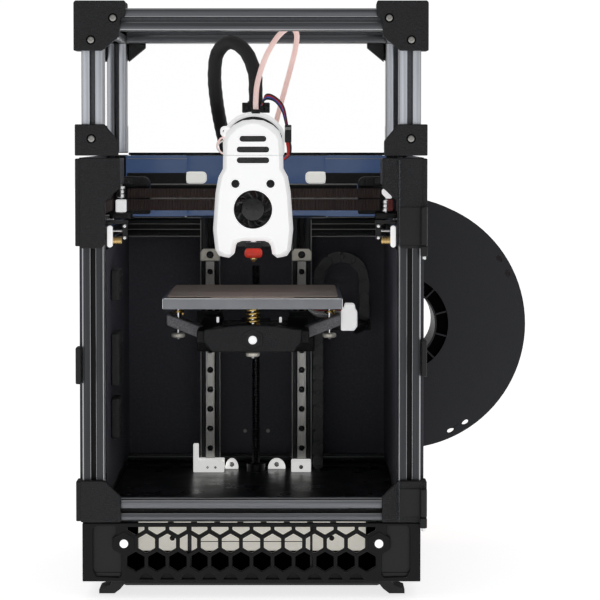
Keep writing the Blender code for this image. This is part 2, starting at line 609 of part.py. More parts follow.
# ---------------------------------------------------------------- door and top cover
def build_door(body, paint):
    box("door_panel", (-DOOR_HALF, DOOR_BACK - PANEL, DOOR_Z[0]), (DOOR_HALF, DOOR_BACK, DOOR_Z[1]), body,
        paint["clear"])
    for place, low, high in (("lower", 0.0560, 0.0750), ("upper", 0.2405, 0.2664)):
        knuckle = cylinder(f"door_hinge_{place}", (HINGE_X, HINGE_Y, (low + high) / 2), KNUCKLE, high - low, body,
                           paint["black_print"])
        strap = box("strap", (0.0900, -PLATE_PROUD - 0.0008, low), (HINGE_X, -PLATE_PROUD - GAP, high), body,
                    paint["black_print"])
        combine(knuckle, [strap])


def cover_slots(body, paint):
    """Long cutters for the slots along the outer faces of the cover's bars."""
    wide, deep, cutters = 0.0016, 0.0042, []
    low, high = COVER_BASE_Z - 0.01, COVER_TOP_Z - 0.020
    middle = COVER_TOP_Z - BAR / 2
    for sign in (-1, 1):
        x = sign * POST_X
        face_x = spans(sign, HALF - deep, HALF + 0.01)
        for y, face_y in ((BAR / 2, (-0.01, deep)), (REAR - BAR / 2, (REAR - deep, REAR + 0.01))):
            cutters.append(((x - wide, face_y[0], low), (x + wide, face_y[1], high)))
            cutters.append(((face_x[0], y - wide, low), (face_x[1], y + wide, high)))
        cutters.append(((face_x[0], 0.020, middle - wide), (face_x[1], REAR - 0.020, middle + wide)))
        cutters.append(((x - wide, 0.020, COVER_TOP_Z - deep), (x + wide, REAR - 0.020, COVER_TOP_Z + 0.01)))
    for y, face_y in ((BAR / 2, (-0.01, deep)), (REAR - BAR / 2, (REAR - deep, REAR + 0.01))):
        cutters.append(((-0.095, face_y[0], middle - wide), (0.095, face_y[1], middle + wide)))
        cutters.append(((-0.095, y - wide, COVER_TOP_Z - deep), (0.095, y + wide, COVER_TOP_Z + 0.01)))
    return [box("slot", low, high, body, paint["aluminium"]) for low, high in cutters]


def build_cover(body, paint):
    """The lift-off top cover: a frame of bars with printed corners, and clear walls inside it."""
    metal, black = paint["aluminium"], paint["black_print"]
    window_top = COVER_TOP_Z - BAR
    frame = box("top_hat_frame", (-HALF, 0, COVER_BASE_Z), (HALF, REAR, COVER_TOP_Z), body, metal)
    cuts = [
        box("inside", (-INNER, BAR, 0.29), (INNER, REAR - BAR, 0.42), body, metal),
        box("front_window", (-INNER, -0.01, 0.29), (INNER, REAR + 0.01, window_top), body, metal),
        box("side_window", (-HALF - 0.01, BAR, 0.29), (HALF + 0.01, REAR - BAR, window_top), body, metal),
    ]
    frame = combine(frame, [*cuts, *cover_slots(body, paint)], "DIFFERENCE")
    upper = [(LEFT_END, 0.3718), (-0.1008, 0.3718), (-0.0891, 0.3814), (-0.0882, 0.3940), (-0.0848, 0.3952),
             (-0.0848, 0.4048), (-0.0856, COVER_CORNER_TOP), (LEFT_END + 0.0012, COVER_CORNER_TOP),
             (LEFT_END, 0.4044)]
    lower = [(-HOUSING_OUTER, 0.3010), (-0.0898, 0.3010), (-0.0898, 0.3109), (-0.0992, 0.3222),
             (-HOUSING_OUTER, 0.3222)]
    corners = []
    narrow = [(max(x, -HOUSING_OUTER) if x < -0.1 else -INNER - 0.0002, z) for x, z in lower if z != 0.3109]
    narrow[2] = (-INNER - 0.0002, 0.3222)
    for side, sign in SIDES:
        for y0, y1, foot in ((-PLATE_PROUD, 0.0012, lower), (REAR - 0.0012, REAR + PLATE_PROUD, narrow)):
            corners.append(prism("upper_plate", [mirrored(upper, sign)], y0, y1, body, black))
            corners.append(prism("lower_plate", [mirrored(foot, sign)], y0, y1, body, black))
        for y0, y1 in ((-0.0040, 0.0298), (REAR - 0.0298, REAR + 0.0040)):
            x = spans(sign, HALF - 0.0012, -LEFT_END - 0.0004)
            corners.append(box("upper_side", (x[0], y0, 0.3840), (x[1], y1, 0.4015), body, black))
            x = spans(sign, 0.0860, -LEFT_END - 0.0032)
            corners.append(box("upper_lid", (x[0], y0 + 0.0008, COVER_TOP_Z - 0.0012),
                               (x[1], y1 - 0.0010, COVER_CORNER_TOP - 0.0003), body, black))
            x = spans(sign, HALF - 0.0012, HOUSING_OUTER - 0.0004)
            y0, y1 = (y0, 0.0136) if y0 < 0.1 else (REAR - 0.0136, y1)
            corners.append(box("lower_side", (x[0], y0, 0.3013), (x[1], y1, 0.3218), body, black))
    combine(frame, corners)

    wall, clear = 0.0020, 0.0004
    glazing = box("top_hat_glazing", (-INNER + clear, BAR + clear, 0.3010), (INNER - clear, REAR - BAR - clear, 0.3985),
                  body, paint["clear"])
    hollow = box("hollow", (-INNER + clear + wall, BAR + clear + wall, 0.2900),
                 (INNER - clear - wall, REAR - BAR - clear - wall, 0.3985 - wall), body, paint["clear"])
    combine(glazing, [hollow], "DIFFERENCE")


def paints():
    return {
        "aluminium": material("aluminium", (0.48, 0.50, 0.52), 0.35, 1.0),
        "dark_aluminium": material("dark_aluminium", (0.10, 0.10, 0.11), 0.4, 0.8),
        "steel": material("steel", (0.55, 0.55, 0.56), 0.3, 1.0),
        "black_print": material("black_print", (0.025, 0.025, 0.027), 0.6),
        "white_print": material("white_print", (0.85, 0.85, 0.86), 0.5),
        "panel": material("black_acrylic", (0.012, 0.012, 0.015), 0.15),
        "clear": material("clear_acrylic", (0.85, 0.92, 0.95), 0.05, 0.0, 0.2),
        "rubber": material("rubber", (0.02, 0.02, 0.02), 0.8),
        "black_rubber": material("cable_sleeve", (0.015, 0.015, 0.016), 0.7),
        "tube": material("ptfe", (0.90, 0.66, 0.60), 0.35),
        "zinc": material("zinc", (0.62, 0.60, 0.54), 0.45, 0.9),
        "motor": material("motor", (0.03, 0.03, 0.03), 0.4, 0.6),
        "brass": material("brass", (0.75, 0.55, 0.22), 0.3, 1.0),
        "red_silicone": material("red_silicone", (0.75, 0.06, 0.03), 0.5),
        "fan": material("fan", (0.02, 0.02, 0.022), 0.4),
        "sheet": material("build_sheet", (0.16, 0.13, 0.10), 0.55, 0.2),
        "spool": material("spool", (0.02, 0.02, 0.022), 0.5),
    }


clear_scene()
printer = pivot("printer", (0, 0, 0))
pivots = {
    "cover": pivot("cover_lift", (0, REAR / 2, COVER_BASE_Z), printer),
    "door": pivot("door_pivot", (HINGE_X, HINGE_Y, 0), printer),
    "gantry": pivot("gantry_slide", (0, BEAM_FRONT, BEAM_Z), printer),
    "bed": pivot("bed_slide", (0, SCREW_Y, 0.1700), printer),
    "screw": pivot("screw_axis", (0, SCREW_Y, 0), printer),
    "spool": pivot("spool_axis", (SPOOL_X, SPOOL_FRONT, SPOOL_Z), printer),
}
pivots["toolhead"] = pivot("toolhead_slide", (0, COWL_BACK, BEAM_Z), pivots["gantry"])
pivots["fan"] = pivot("fan_axis", (0, COWL_FRONT + 0.0055, FAN_Z), pivots["toolhead"])
pivots["sheet"] = pivot("sheet_slide", (0, BED_FRONT, SHEET_Z[0]), pivots["bed"])
for knob, place in KNOBS.items():
    pivots[f"knob_{knob}"] = pivot(f"knob_axis_{knob}", place, pivots["bed"])


def build_printer():
    paint = paints()
    build_frame(printer, paint)
    build_corners(printer, paint)
    build_base(printer, paint)
    build_drives(printer, paint)
    prism("cable_chain", [chain_outline()], 0.1990, 0.2100, printer, paint["black_print"])
    build_gantry(pivots["gantry"], paint)
    build_toolhead(pivots["toolhead"], paint)
    build_fan(pivots["fan"], paint)
    build_bed(pivots["bed"], pivots["sheet"], paint)
    build_knobs(paint)
    build_spool(pivots["spool"], printer, paint)
    build_door(pivots["door"], paint)
    build_cover(pivots["cover"], paint)


build_printer()
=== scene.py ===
"""Looks for the enclosed desktop printer: detailed meshes, materials, light and camera."""
import math

import bmesh
import bpy
from mathutils import Matrix, Vector

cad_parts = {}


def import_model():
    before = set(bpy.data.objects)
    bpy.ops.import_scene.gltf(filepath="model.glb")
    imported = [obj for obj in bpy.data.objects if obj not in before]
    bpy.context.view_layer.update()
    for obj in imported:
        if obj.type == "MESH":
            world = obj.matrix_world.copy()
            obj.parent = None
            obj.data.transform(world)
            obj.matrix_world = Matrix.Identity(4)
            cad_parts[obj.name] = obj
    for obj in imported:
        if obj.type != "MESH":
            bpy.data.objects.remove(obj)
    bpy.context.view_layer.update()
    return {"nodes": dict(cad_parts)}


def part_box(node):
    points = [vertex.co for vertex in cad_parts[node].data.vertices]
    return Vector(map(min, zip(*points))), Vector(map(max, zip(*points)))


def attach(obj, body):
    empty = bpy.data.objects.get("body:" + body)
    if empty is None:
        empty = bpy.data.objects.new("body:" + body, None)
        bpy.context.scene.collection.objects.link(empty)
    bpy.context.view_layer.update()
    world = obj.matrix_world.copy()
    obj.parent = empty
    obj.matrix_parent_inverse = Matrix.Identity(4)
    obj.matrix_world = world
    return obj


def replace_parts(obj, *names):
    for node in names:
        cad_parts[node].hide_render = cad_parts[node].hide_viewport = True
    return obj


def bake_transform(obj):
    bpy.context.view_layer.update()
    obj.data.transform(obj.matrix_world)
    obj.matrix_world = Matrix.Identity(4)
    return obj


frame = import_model()
NODES = frame["nodes"]
MM = 0.001

# Pieces are placed in millimetres from the middle of the frame's front face, at floor level.
post_l, post_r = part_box("post_front_left"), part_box("post_front_right")
ORIGIN = Vector(((post_l[0][0] + post_r[1][0]) / 2, post_l[0][1], 0))
BAR, HALF, REAR = 15.0, 115.0, 230.0  # a bar's width, half the frame's width, the frame's depth
FRONT_PRINT, REAR_PRINT = (-4.5, -0.3), (REAR + 0.3, REAR + 4.5)  # depths of the printed covers on the faces
SIDES = (("left", -1), ("right", 1))
ENDS = (("front", BAR / 2), ("rear", REAR - BAR / 2))
LEVELS = (("upper", 273.1, 6.6), ("lower", 264.7, 8.0))  # height and width of the two belts
QUARTER = math.pi / 2


def world(p):
    return ORIGIN + Vector(p) * MM


# ---------------------------------------------------------------- materials
MATERIALS = {}


def material(name, colour, rough, metal=0.0, mottle=None, bump=None, streak=None, painted_edge_highlight=None, **sockets):
    """A Principled material with procedural colour variation, bump and drawn or brushed streaks.

    mottle is (scale, share), bump (scale, height in metres), streak the mapping scale of the
    drawing marks along each axis and their share, painted_edge_highlight (brighter edge colour, share)
    a painted highlight on convex edges.
    """
    m = bpy.data.materials.new(name)
    m.use_nodes = True
    tree, links = m.node_tree, m.node_tree.links
    shader = tree.nodes["Principled BSDF"]
    shader.inputs["Base Color"].default_value = (*colour, 1)
    shader.inputs["Roughness"].default_value = rough
    shader.inputs["Metallic"].default_value = metal
    for socket, value in sockets.items():
        shader.inputs[socket.replace("_", " ")].default_value = value
    coords = tree.nodes.new("ShaderNodeTexCoord")

    def noise(scale, detail=3.0, mapping=None):
        node = tree.nodes.new("ShaderNodeTexNoise")
        node.inputs["Scale"].default_value = scale
        node.inputs["Detail"].default_value = detail
        source = coords.outputs["Object"]
        if mapping:
            place = tree.nodes.new("ShaderNodeMapping")
            place.inputs["Scale"].default_value = mapping
            links.new(source, place.inputs["Vector"])
            source = place.outputs["Vector"]
        links.new(source, node.inputs["Vector"])
        return node.outputs["Fac"]

    def ramp(value, low, high, positions=(0.3, 0.7)):
        node = tree.nodes.new("ShaderNodeValToRGB")
        for element, place, shade in zip(node.color_ramp.elements, positions, (low, high)):
            element.position = place
            element.color = (*shade, 1)
        links.new(value, node.inputs["Fac"])
        return node.outputs["Color"]

    if mottle or streak:
        scale, share = mottle or (1.0, streak[1])
        pattern = noise(scale) if mottle else noise(1.0, 4.0, streak[0])
        low = [c * (1 - share) for c in colour]
        high = [min(1, c * (1 + share)) for c in colour]
        tint = ramp(pattern, low, high)
        rough_range = ramp(pattern, [max(0.02, rough - 0.08)] * 3, [min(1, rough + 0.08)] * 3)
        # painted highlight: a brighter colour on convex edges, found by pointiness
        if painted_edge_highlight:
            edge = tree.nodes.new("ShaderNodeNewGeometry")
            edge_highlight_mask = ramp(edge.outputs["Pointiness"], (0, 0, 0), (1, 1, 1), (0.51, 0.58))
            mix = tree.nodes.new("ShaderNodeMix")
            mix.data_type = "RGBA"
            links.new(edge_highlight_mask, mix.inputs["Factor"])
            links.new(tint, mix.inputs["A"])
            mix.inputs["B"].default_value = (*painted_edge_highlight, 1)
            tint = mix.outputs["Result"]
        links.new(tint, shader.inputs["Base Color"])
        links.new(rough_range, shader.inputs["Roughness"])
    if bump:
        node = tree.nodes.new("ShaderNodeBump")
        node.inputs["Strength"].default_value = 1.0
        node.inputs["Distance"].default_value = bump[1]
        links.new(noise(bump[0], 2.0, bump[2] if len(bump) > 2 else None), node.inputs["Height"])
        links.new(node.outputs["Normal"], shader.inputs["Normal"])
    MATERIALS[name] = m
    return m


# each family's tone, made lighter or darker per axis (X, Y, Z): lit and shaded copies of one metal, painted light
BAR_TONES_AND_PAINTED_LIGHT = {"frame_bar": {"X": 0.17, "Y": 0.03, "Z": 0.055}, "cover_bar": {"X": 0.11, "Y": 0.14, "Z": 0.60},
               "dark_bar": {"X": 0.012, "Y": 0.012, "Z": 0.020}}
AXES = {"X": (9, 900, 900), "Y": (900, 9, 900), "Z": (900, 900, 9)}
for family, shades in BAR_TONES_AND_PAINTED_LIGHT.items():
    for axis, scale in AXES.items():
        shade = shades[axis]
        material(f"{family}_{axis}", (shade, shade * 1.04, shade * 1.12), 0.36, 0.92, streak=(scale, 0.2),
                 bump=(1.0, 0.00002, scale))
        # chamfers and corners get a separate tone, a painted edge highlight (on the cover posts darker than the faces)
        edge = 0.10 if family == "dark_bar" else 0.42
        material(f"{family}_{axis}_edge", (edge, edge * 1.02, edge * 1.05), 0.30, 0.92, streak=(scale, 0.12))
# painted shade: dark slot interiors, lighter on the cover bars
material("slot_dark", (0.010, 0.010, 0.011), 0.6, 0.4, mottle=(700, 0.3))
material("slot_grey", (0.11, 0.115, 0.125), 0.45, 0.8, mottle=(700, 0.2))
material("black_print", (0.0100, 0.0102, 0.0118), 0.60, mottle=(1100, 0.8), bump=(1100, 0.0005),
         Specular_IOR_Level=0.36)
material("black_smooth", (0.009, 0.009, 0.010), 0.45, mottle=(600, 0.3), bump=(2400, 0.00006),
         Specular_IOR_Level=0.34)
material("grille_print", (0.0045, 0.0045, 0.0055), 0.45, mottle=(900, 0.3), bump=(1400, 0.00008),
         Specular_IOR_Level=0.20)
material("chain_plastic", (0.020, 0.020, 0.023), 0.42, mottle=(900, 0.3), bump=(1400, 0.00008))
# painted shade: a flat black for rings round screws, recesses and the dark seen through the skirt's holes
material("painted_shade_black", (0.0025, 0.0025, 0.003), 0.95, mottle=(300, 0.2), Specular_IOR_Level=0.0)
# inner_white, white_print and case_cream glow with painted light (emission) that lifts the pale prints and the power
# supply
material("inner_white", (0.88, 0.88, 0.86), 0.42, mottle=(120, 0.03), Emission_Color=(1, 1, 0.98, 1),
         Emission_Strength=0.55)
material("white_print", (0.90, 0.903, 0.905), 0.42, mottle=(120, 0.015), bump=(1900, 0.00003),
         Emission_Color=(1, 1, 1, 1), Emission_Strength=0.42)
material("case_cream", (0.82, 0.79, 0.71), 0.45, 0.2, mottle=(160, 0.08), Emission_Color=(1, 0.96, 0.86, 1),
         Emission_Strength=0.30)
material("arm_print", (0.25, 0.245, 0.265), 0.6, mottle=(1200, 0.4), bump=(1300, 0.0002))
material("deck_acrylic", (0.004, 0.004, 0.005), 0.32, mottle=(40, 0.3), bump=(60, 0.00002))
material("panel_acrylic", (0.060, 0.060, 0.076), 0.55, mottle=(500, 0.15), bump=(900, 0.00002),
         Specular_IOR_Level=0.3)
material("clear_acrylic", (0.02, 0.025, 0.03), 0.04, mottle=(30, 0.02), Alpha=0.006, Specular_IOR_Level=0.1)
material("acrylic_edge", (0.30, 0.36, 0.40), 0.2, mottle=(90, 0.1), Alpha=0.22)
material("rubber", (0.014, 0.014, 0.015), 0.7, mottle=(700, 0.3), bump=(1500, 0.0001))
material("zinc", (0.80, 0.77, 0.68), 0.45, 0.45, mottle=(160, 0.10), bump=(900, 0.00003))
material("motor_black", (0.016, 0.016, 0.017), 0.35, 0.5, mottle=(500, 0.3), bump=(900, 0.00005))
material("steel", (0.50, 0.50, 0.51), 0.28, 1.0, streak=((700, 700, 20), 0.10), bump=(1.0, 0.00001, (700, 700, 20)))
material("rail_steel", (0.36, 0.355, 0.34), 0.38, 1.0, streak=((700, 700, 20), 0.12),
         bump=(1.0, 0.00001, (700, 700, 20)))
material("bright_steel", (0.78, 0.78, 0.79), 0.18, 1.0, mottle=(300, 0.08))
material("black_screw", (0.022, 0.022, 0.024), 0.30, 0.85, mottle=(900, 0.25), bump=(1500, 0.00003))
material("bed_plate", (0.24, 0.247, 0.265), 0.38, 1.0, streak=((30, 700, 30), 0.16), bump=(1.0, 0.00002, (30, 900, 30)))
material("sheet_coating", (0.34, 0.272, 0.235), 0.50, 0.1, mottle=(2200, 0.6), bump=(1700, 0.0002))
material("gold_spring", (0.78, 0.55, 0.18), 0.25, 1.0, mottle=(300, 0.1))
material("brass", (0.70, 0.50, 0.22), 0.28, 1.0, mottle=(400, 0.12))
material("red_silicone", (0.70, 0.035, 0.015), 0.50, mottle=(200, 0.12), bump=(700, 0.00008))
material("belt", (0.024, 0.010, 0.008), 0.65, mottle=(300, 0.35), bump=(900, 0.0001))
material("belt_red", (0.16, 0.018, 0.014), 0.6, mottle=(300, 0.3), bump=(900, 0.0001))
material("fan_black", (0.010, 0.010, 0.011), 0.33, mottle=(300, 0.25), bump=(800, 0.00003))
material("spool_black", (0.0125, 0.0132, 0.0170), 0.50, mottle=(500, 0.25), bump=(1100, 0.00008),
         Specular_IOR_Level=0.4)
material("coral_filament", (0.78, 0.17, 0.10), 0.35, mottle=(200, 0.12), bump=(500, 0.0001))
material("sleeve", (0.010, 0.010, 0.011), 0.62, mottle=(900, 0.4), bump=(1300, 0.0006))
# the tube glows with painted light (emission) besides its translucency
material("ptfe", (0.93, 0.66, 0.62), 0.30, mottle=(120, 0.05), Alpha=0.9, Subsurface_Weight=0.2,
         Emission_Color=(1.0, 0.72, 0.68, 1), Emission_Strength=0.28)
material("white_wire", (0.82, 0.82, 0.80), 0.45, mottle=(300, 0.05))
material("red_wire", (0.55, 0.02, 0.02), 0.42, mottle=(300, 0.1))
material("blue_wire", (0.03, 0.08, 0.42), 0.42, mottle=(300, 0.1))
material("black_wire", (0.010, 0.010, 0.010), 0.42, mottle=(300, 0.2))
# the tinted strips glow with a painted blue light (emission)
material("blue_tint", (0.026, 0.040, 0.078), 0.12, mottle=(40, 0.15), Emission_Color=(0.27, 0.47, 1.0, 1),
         Emission_Strength=0.115)
material("led_lens", (0.90, 0.90, 0.86), 0.30, mottle=(100, 0.02), Emission_Color=(1, 1, 0.95, 1),
         Emission_Strength=0.45)
M = MATERIALS


# ---------------------------------------------------------------- making pieces
def finish(obj, mat, body, bevel=0.0, segments=2, angle=35):
    """Material, rounded edges and body for a new object already in its place."""
    bpy.context.scene.collection.objects.link(obj)
    obj.data.materials.append(M[mat] if isinstance(mat, str) else mat)
    if bevel:
        edge = obj.modifiers.new("edge", "BEVEL")
        edge.width = bevel * MM
        edge.segments = segments
        edge.limit_method = "ANGLE"
        edge.angle_limit = math.radians(angle)
    obj.data.shade_smooth()
    obj.data.set_sharp_from_angle(angle=math.radians(angle))
    if bevel:
        even = obj.modifiers.new("shading", "WEIGHTED_NORMAL")
        even.keep_sharp = True
    if body:
        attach(obj, body)
    return obj


def mesh_object(name, form, centre, turn=None):
    """An object from a bmesh in millimetres about its own centre."""
    bmesh.ops.recalc_face_normals(form, faces=form.faces)
    bmesh.ops.scale(form, vec=(MM, MM, MM), verts=form.verts)
    mesh = bpy.data.meshes.new(name)
    form.to_mesh(mesh)
    form.free()
    obj = bpy.data.objects.new(name, mesh)
    obj.location = world(centre)
    if turn:
        obj.rotation_euler = [math.radians(t) for t in turn]
    return obj


def block(name, low, high, mat, body, bevel=0.4, turn=None, segments=2):
    low, high = Vector(low), Vector(high)
    form = bmesh.new()
    bmesh.ops.create_cube(form, size=1)
    bmesh.ops.scale(form, vec=high - low, verts=form.verts)
    return finish(mesh_object(name, form, (low + high) / 2, turn), mat, body, bevel, segments)


def prism_form(outlines, start, end, axis):
    """Outlines (the first outer, the rest holes) drawn out along an axis."""
    form = bmesh.new()
    edges = []
    for outline in outlines:
        verts = [form.verts.new((u, v, 0)) for u, v in outline]
        edges += [form.edges.new((verts[i], verts[(i + 1) % len(verts)])) for i in range(len(verts))]
    if len(outlines) == 1:
        form.faces.new(form.verts)
    else:
        bmesh.ops.triangle_fill(form, use_beauty=True, use_dissolve=False, edges=edges)
    grown = bmesh.ops.extrude_face_region(form, geom=form.faces[:])
    moved = [g for g in grown["geom"] if isinstance(g, bmesh.types.BMVert)]
    bmesh.ops.translate(form, vec=(0, 0, end - start), verts=moved)
    order = {"X": lambda c: (start + c.z, c.x, c.y), "Y": lambda c: (c.x, start + c.z, c.y),
             "Z": lambda c: (c.x, c.y, start + c.z)}[axis]
    for vert in form.verts:
        vert.co = order(vert.co)
    return form


def plate(name, outlines, start, end, mat, body, axis="Y", bevel=0.4, turn=None, segments=2, angle=35):
    if isinstance(outlines[0][0], (int, float)):
        outlines = [outlines]
    form = prism_form(outlines, start, end, axis)
    low = Vector([min(v.co[i] for v in form.verts) for i in range(3)])
    high = Vector([max(v.co[i] for v in form.verts) for i in range(3)])
    centre = (low + high) / 2
    bmesh.ops.translate(form, vec=-centre, verts=form.verts)
    return finish(mesh_object(name, form, centre, turn), mat, body, bevel, segments, angle)


TURN = {"Z": Matrix.Identity(3), "Y": Matrix.Rotation(QUARTER, 3, "X"), "X": Matrix.Rotation(QUARTER, 3, "Y")}


def skin(form, rings, around=True):
    """Faces between neighbouring rings of vertices; a ring of one vertex closes to a point."""
    for a, b in zip(rings, rings[1:]):
        count = max(len(a), len(b))
        for k in range(count if around else count - 1):
            n = (k + 1) % count
            corners = [a[k % len(a)], a[n % len(a)], b[n % len(b)], b[k % len(b)]]
            form.faces.new([c for i, c in enumerate(corners) if c not in corners[:i]])


def lathe(name, profile, centre, mat, body, axis="Z", steps=40, closed=False, turn=None, angle=35):
    """(radius, height) points spun about the axis; ends at radius 0 are closed."""
    form = bmesh.new()
    rings = [[form.verts.new((x, y, height)) for x, y in (circle(0, 0, radius, steps) if radius else [(0, 0)])]
             for radius, height in profile]
    skin(form, rings + rings[:1] if closed else rings)
    bmesh.ops.transform(form, matrix=TURN[axis].to_4x4(), verts=form.verts)
    return finish(mesh_object(name, form, centre, turn), mat, body, angle=angle)


def rod(name, centre, radius, length, mat, body, axis="Z", steps=32, edge=0.3, bore=0.0, turn=None):
    h = length / 2
    e = min(edge, radius * 0.4, h * 0.8)
    profile = [(radius - e, h), (radius, h - e), (radius, e - h), (radius - e, -h)]
    if bore:
        profile += [(bore, -h), (bore, h)]
        return lathe(name, profile, centre, mat, body, axis, steps, closed=True, turn=turn)
    return lathe(name, [(0, h), *profile, (0, -h)], centre, mat, body, axis, steps, turn=turn)


def screw(name, centre, radius, body, axis="Y", towards=-1, mat="black_screw", depth=1.8):
    """A button-head screw with a hexagon socket, facing along the axis towards -1 or +1."""
    form = bmesh.new()
    rings = []
    steps, socket, sixth = 24, radius * 0.48, math.pi / 3
    for r, h in ((radius, 0), (radius, depth * 0.25), (radius * 0.93, depth * 0.6), (radius * 0.76, depth * 0.88),
                 (radius * 0.58, depth), (socket, depth), (socket, depth * 0.2)):
        ring = []
        for k in range(steps):
            a = 2 * math.pi * k / steps
            flat = r * math.cos(sixth / 2) / math.cos((a % sixth) - sixth / 2) if r == socket else r
            ring.append(form.verts.new((flat * math.cos(a), flat * math.sin(a), h)))
        rings.append(ring)
    skin(form, rings)
    form.faces.new(rings[-1])
    form.faces.new(rings[0][::-1])
    angle, about = {"X": (QUARTER * towards, "Y"), "Y": (-QUARTER * towards, "X"),
                    "Z": (QUARTER * (1 - towards), "X")}[axis]
    bmesh.ops.rotate(form, matrix=Matrix.Rotation(angle, 3, about), verts=form.verts)
    return finish(mesh_object(name, form, centre), mat, body)


def smooth_route(points, step):
    """Points about a step apart on a Catmull-Rom curve through the given ones."""
    knots = [Vector(p) for p in points]
    knots = [2 * knots[0] - knots[1], *knots, 2 * knots[-1] - knots[-2]]
    route = []
    for a, b, c, d in zip(knots, knots[1:], knots[2:], knots[3:]):
        count = max(1, round((c - b).length / step))
        for i in range(count):
            t = i / count
            route.append(0.5 * (2 * b + (c - a) * t + (2 * a - 5 * b + 4 * c - d) * t ** 2
                                + (3 * b - a - 3 * c + d) * t ** 3))
    route.append(knots[-2])
    return route


def tube(name, route, radius, mat, body, sides=12, ridge=0.0, pitch=0):
    """A round tube swept along a route in millimetres, with optional ribs every pitch points."""
    form = bmesh.new()
    rings = []
    normal = None
    for i, p in enumerate(route):
        ahead = (route[min(i + 1, len(route) - 1)] - route[max(i - 1, 0)]).normalized()
        if normal is None:
            normal = ahead.orthogonal().normalized()
        normal = (normal - ahead * normal.dot(ahead)).normalized()
        side = ahead.cross(normal)
        r = radius + (ridge if pitch and i % pitch == 0 else 0)
        rings.append([form.verts.new(p + (normal * math.cos(2 * math.pi * k / sides)
                                          + side * math.sin(2 * math.pi * k / sides)) * r) for k in range(sides)])
    skin(form, rings)
    form.faces.new(rings[0][::-1])
    form.faces.new(rings[-1])
    return finish(mesh_object(name, form, (0, 0, 0)), mat, body, angle=60)


def wire(name, points, radius, mat, body, sides=8):
    return tube(name, smooth_route(points, radius * 2.2), radius, mat, body, sides)


def mirrored(outline, sign):
    """An outline drawn for the left side, or its mirror image for the right."""
    return outline if sign < 0 else [(-x, y) for x, y in reversed(outline)]


def spans(sign, inner, outer):
    """Lowest and highest x of something between two distances from the middle."""
    return (inner, outer) if sign > 0 else (-outer, -inner)


def side_block(name, side, across, along, up, mat, bevel=0.4, body="frame"):
    """A block on one side, from its distances to the middle, its depths and its heights."""
    x = spans(-1 if side[0] == "l" else 1, *across)
    return block(f"{name}_{side}", (x[0], along[0], up[0]), (x[1], along[1], up[1]), mat, body, bevel)


def circle(x, z, radius, steps=24, start=0.0):
    return [(x + radius * math.cos(start + 2 * math.pi * k / steps),
             z + radius * math.sin(start + 2 * math.pi * k / steps)) for k in range(steps)]


def rounded(low, high, radius, steps=5):
    points = []
    for x, y, quarter in ((high[0], high[1], 0), (low[0], high[1], 1), (low[0], low[1], 2), (high[0], low[1], 3)):
        cx = x - radius if quarter in (0, 3) else x + radius
        cy = y - radius if quarter in (0, 1) else y + radius
        points += [(cx + radius * math.cos(QUARTER * (quarter + i / steps)),
                    cy + radius * math.sin(QUARTER * (quarter + i / steps))) for i in range(steps + 1)]
    return points


def paint(mat, *nodes):
    """A better material on CAD solids that keep their shape."""
    for node in nodes:
        for slot in NODES[node].material_slots:
            slot.material = M[mat]


# ---------------------------------------------------------------- camera and light
def camera():
    data = bpy.data.cameras.new("camera")
    data.lens = 137.25
    data.sensor_width = 36
    data.shift_x, data.shift_y = 0.0133, -0.130
    data.clip_start, data.clip_end = 0.05, 50
    obj = bpy.data.objects.new("camera", data)
    obj.location = world((27.6, -1550, 315))
    obj.rotation_euler = (math.radians(90 - 2.18), 0, 0)
    bpy.context.scene.collection.objects.link(obj)
    bpy.context.scene.camera = obj


def softbox(name, place, aim, size, power, colour=(1, 1, 1)):
    data = bpy.data.lights.new(name, "AREA")
    data.shape = "RECTANGLE"
    data.size, data.size_y = size
    data.energy = power
    data.color = colour
    obj = bpy.data.objects.new(name, data)
    obj.location = world(place)
    obj.rotation_euler = (world(aim) - world(place)).to_track_quat("-Z", "Y").to_euler()
    obj.visible_camera = False
    bpy.context.scene.collection.objects.link(obj)


def studio():
    backdrop = bpy.data.worlds.new("studio")
    bpy.context.scene.world = backdrop
    backdrop.use_nodes = True
    tree = backdrop.node_tree
    path = tree.nodes.new("ShaderNodeLightPath")
    mix = tree.nodes.new("ShaderNodeMixShader")
    tree.links.new(path.outputs["Is Camera Ray"], mix.inputs["Fac"])
    # the world lights the object less brightly than the white it shows behind it
    for socket, shader, strength in ((1, tree.nodes["Background"], 0.40),
                                     (2, tree.nodes.new("ShaderNodeBackground"), 1.02)):
        shader.inputs["Color"].default_value = (1, 1, 1, 1)
        shader.inputs["Strength"].default_value = strength
        tree.links.new(shader.outputs["Background"], mix.inputs[socket])
    tree.links.new(mix.outputs["Shader"], tree.nodes["World Output"].inputs["Surface"])
    bpy.context.scene.view_settings.view_transform = "Standard"
    bpy.context.scene.view_settings.look = "None"

    softbox("key", (-900, -1500, 1500), (0, 100, 200), (1400, 1000), 17)
    softbox("fill", (1300, -1300, 700), (0, 100, 200), (1000, 1200), 7)
    softbox("front", (0, -2200, 500), (0, 100, 180), (1600, 900), 12)
    softbox("top", (0, 250, 1700), (0, 120, 200), (1500, 1500), 7)

    form = bmesh.new()
    bmesh.ops.create_grid(form, x_segments=1, y_segments=1, size=12000)
    floor = mesh_object("floor", form, (0, 0, -0.05))
    material("floor", (0.92, 0.92, 0.92), 0.6, mottle=(3, 0.01), Emission_Color=(1, 1, 1, 1), Emission_Strength=0.74)
    finish(floor, "floor", None)


camera()
studio()


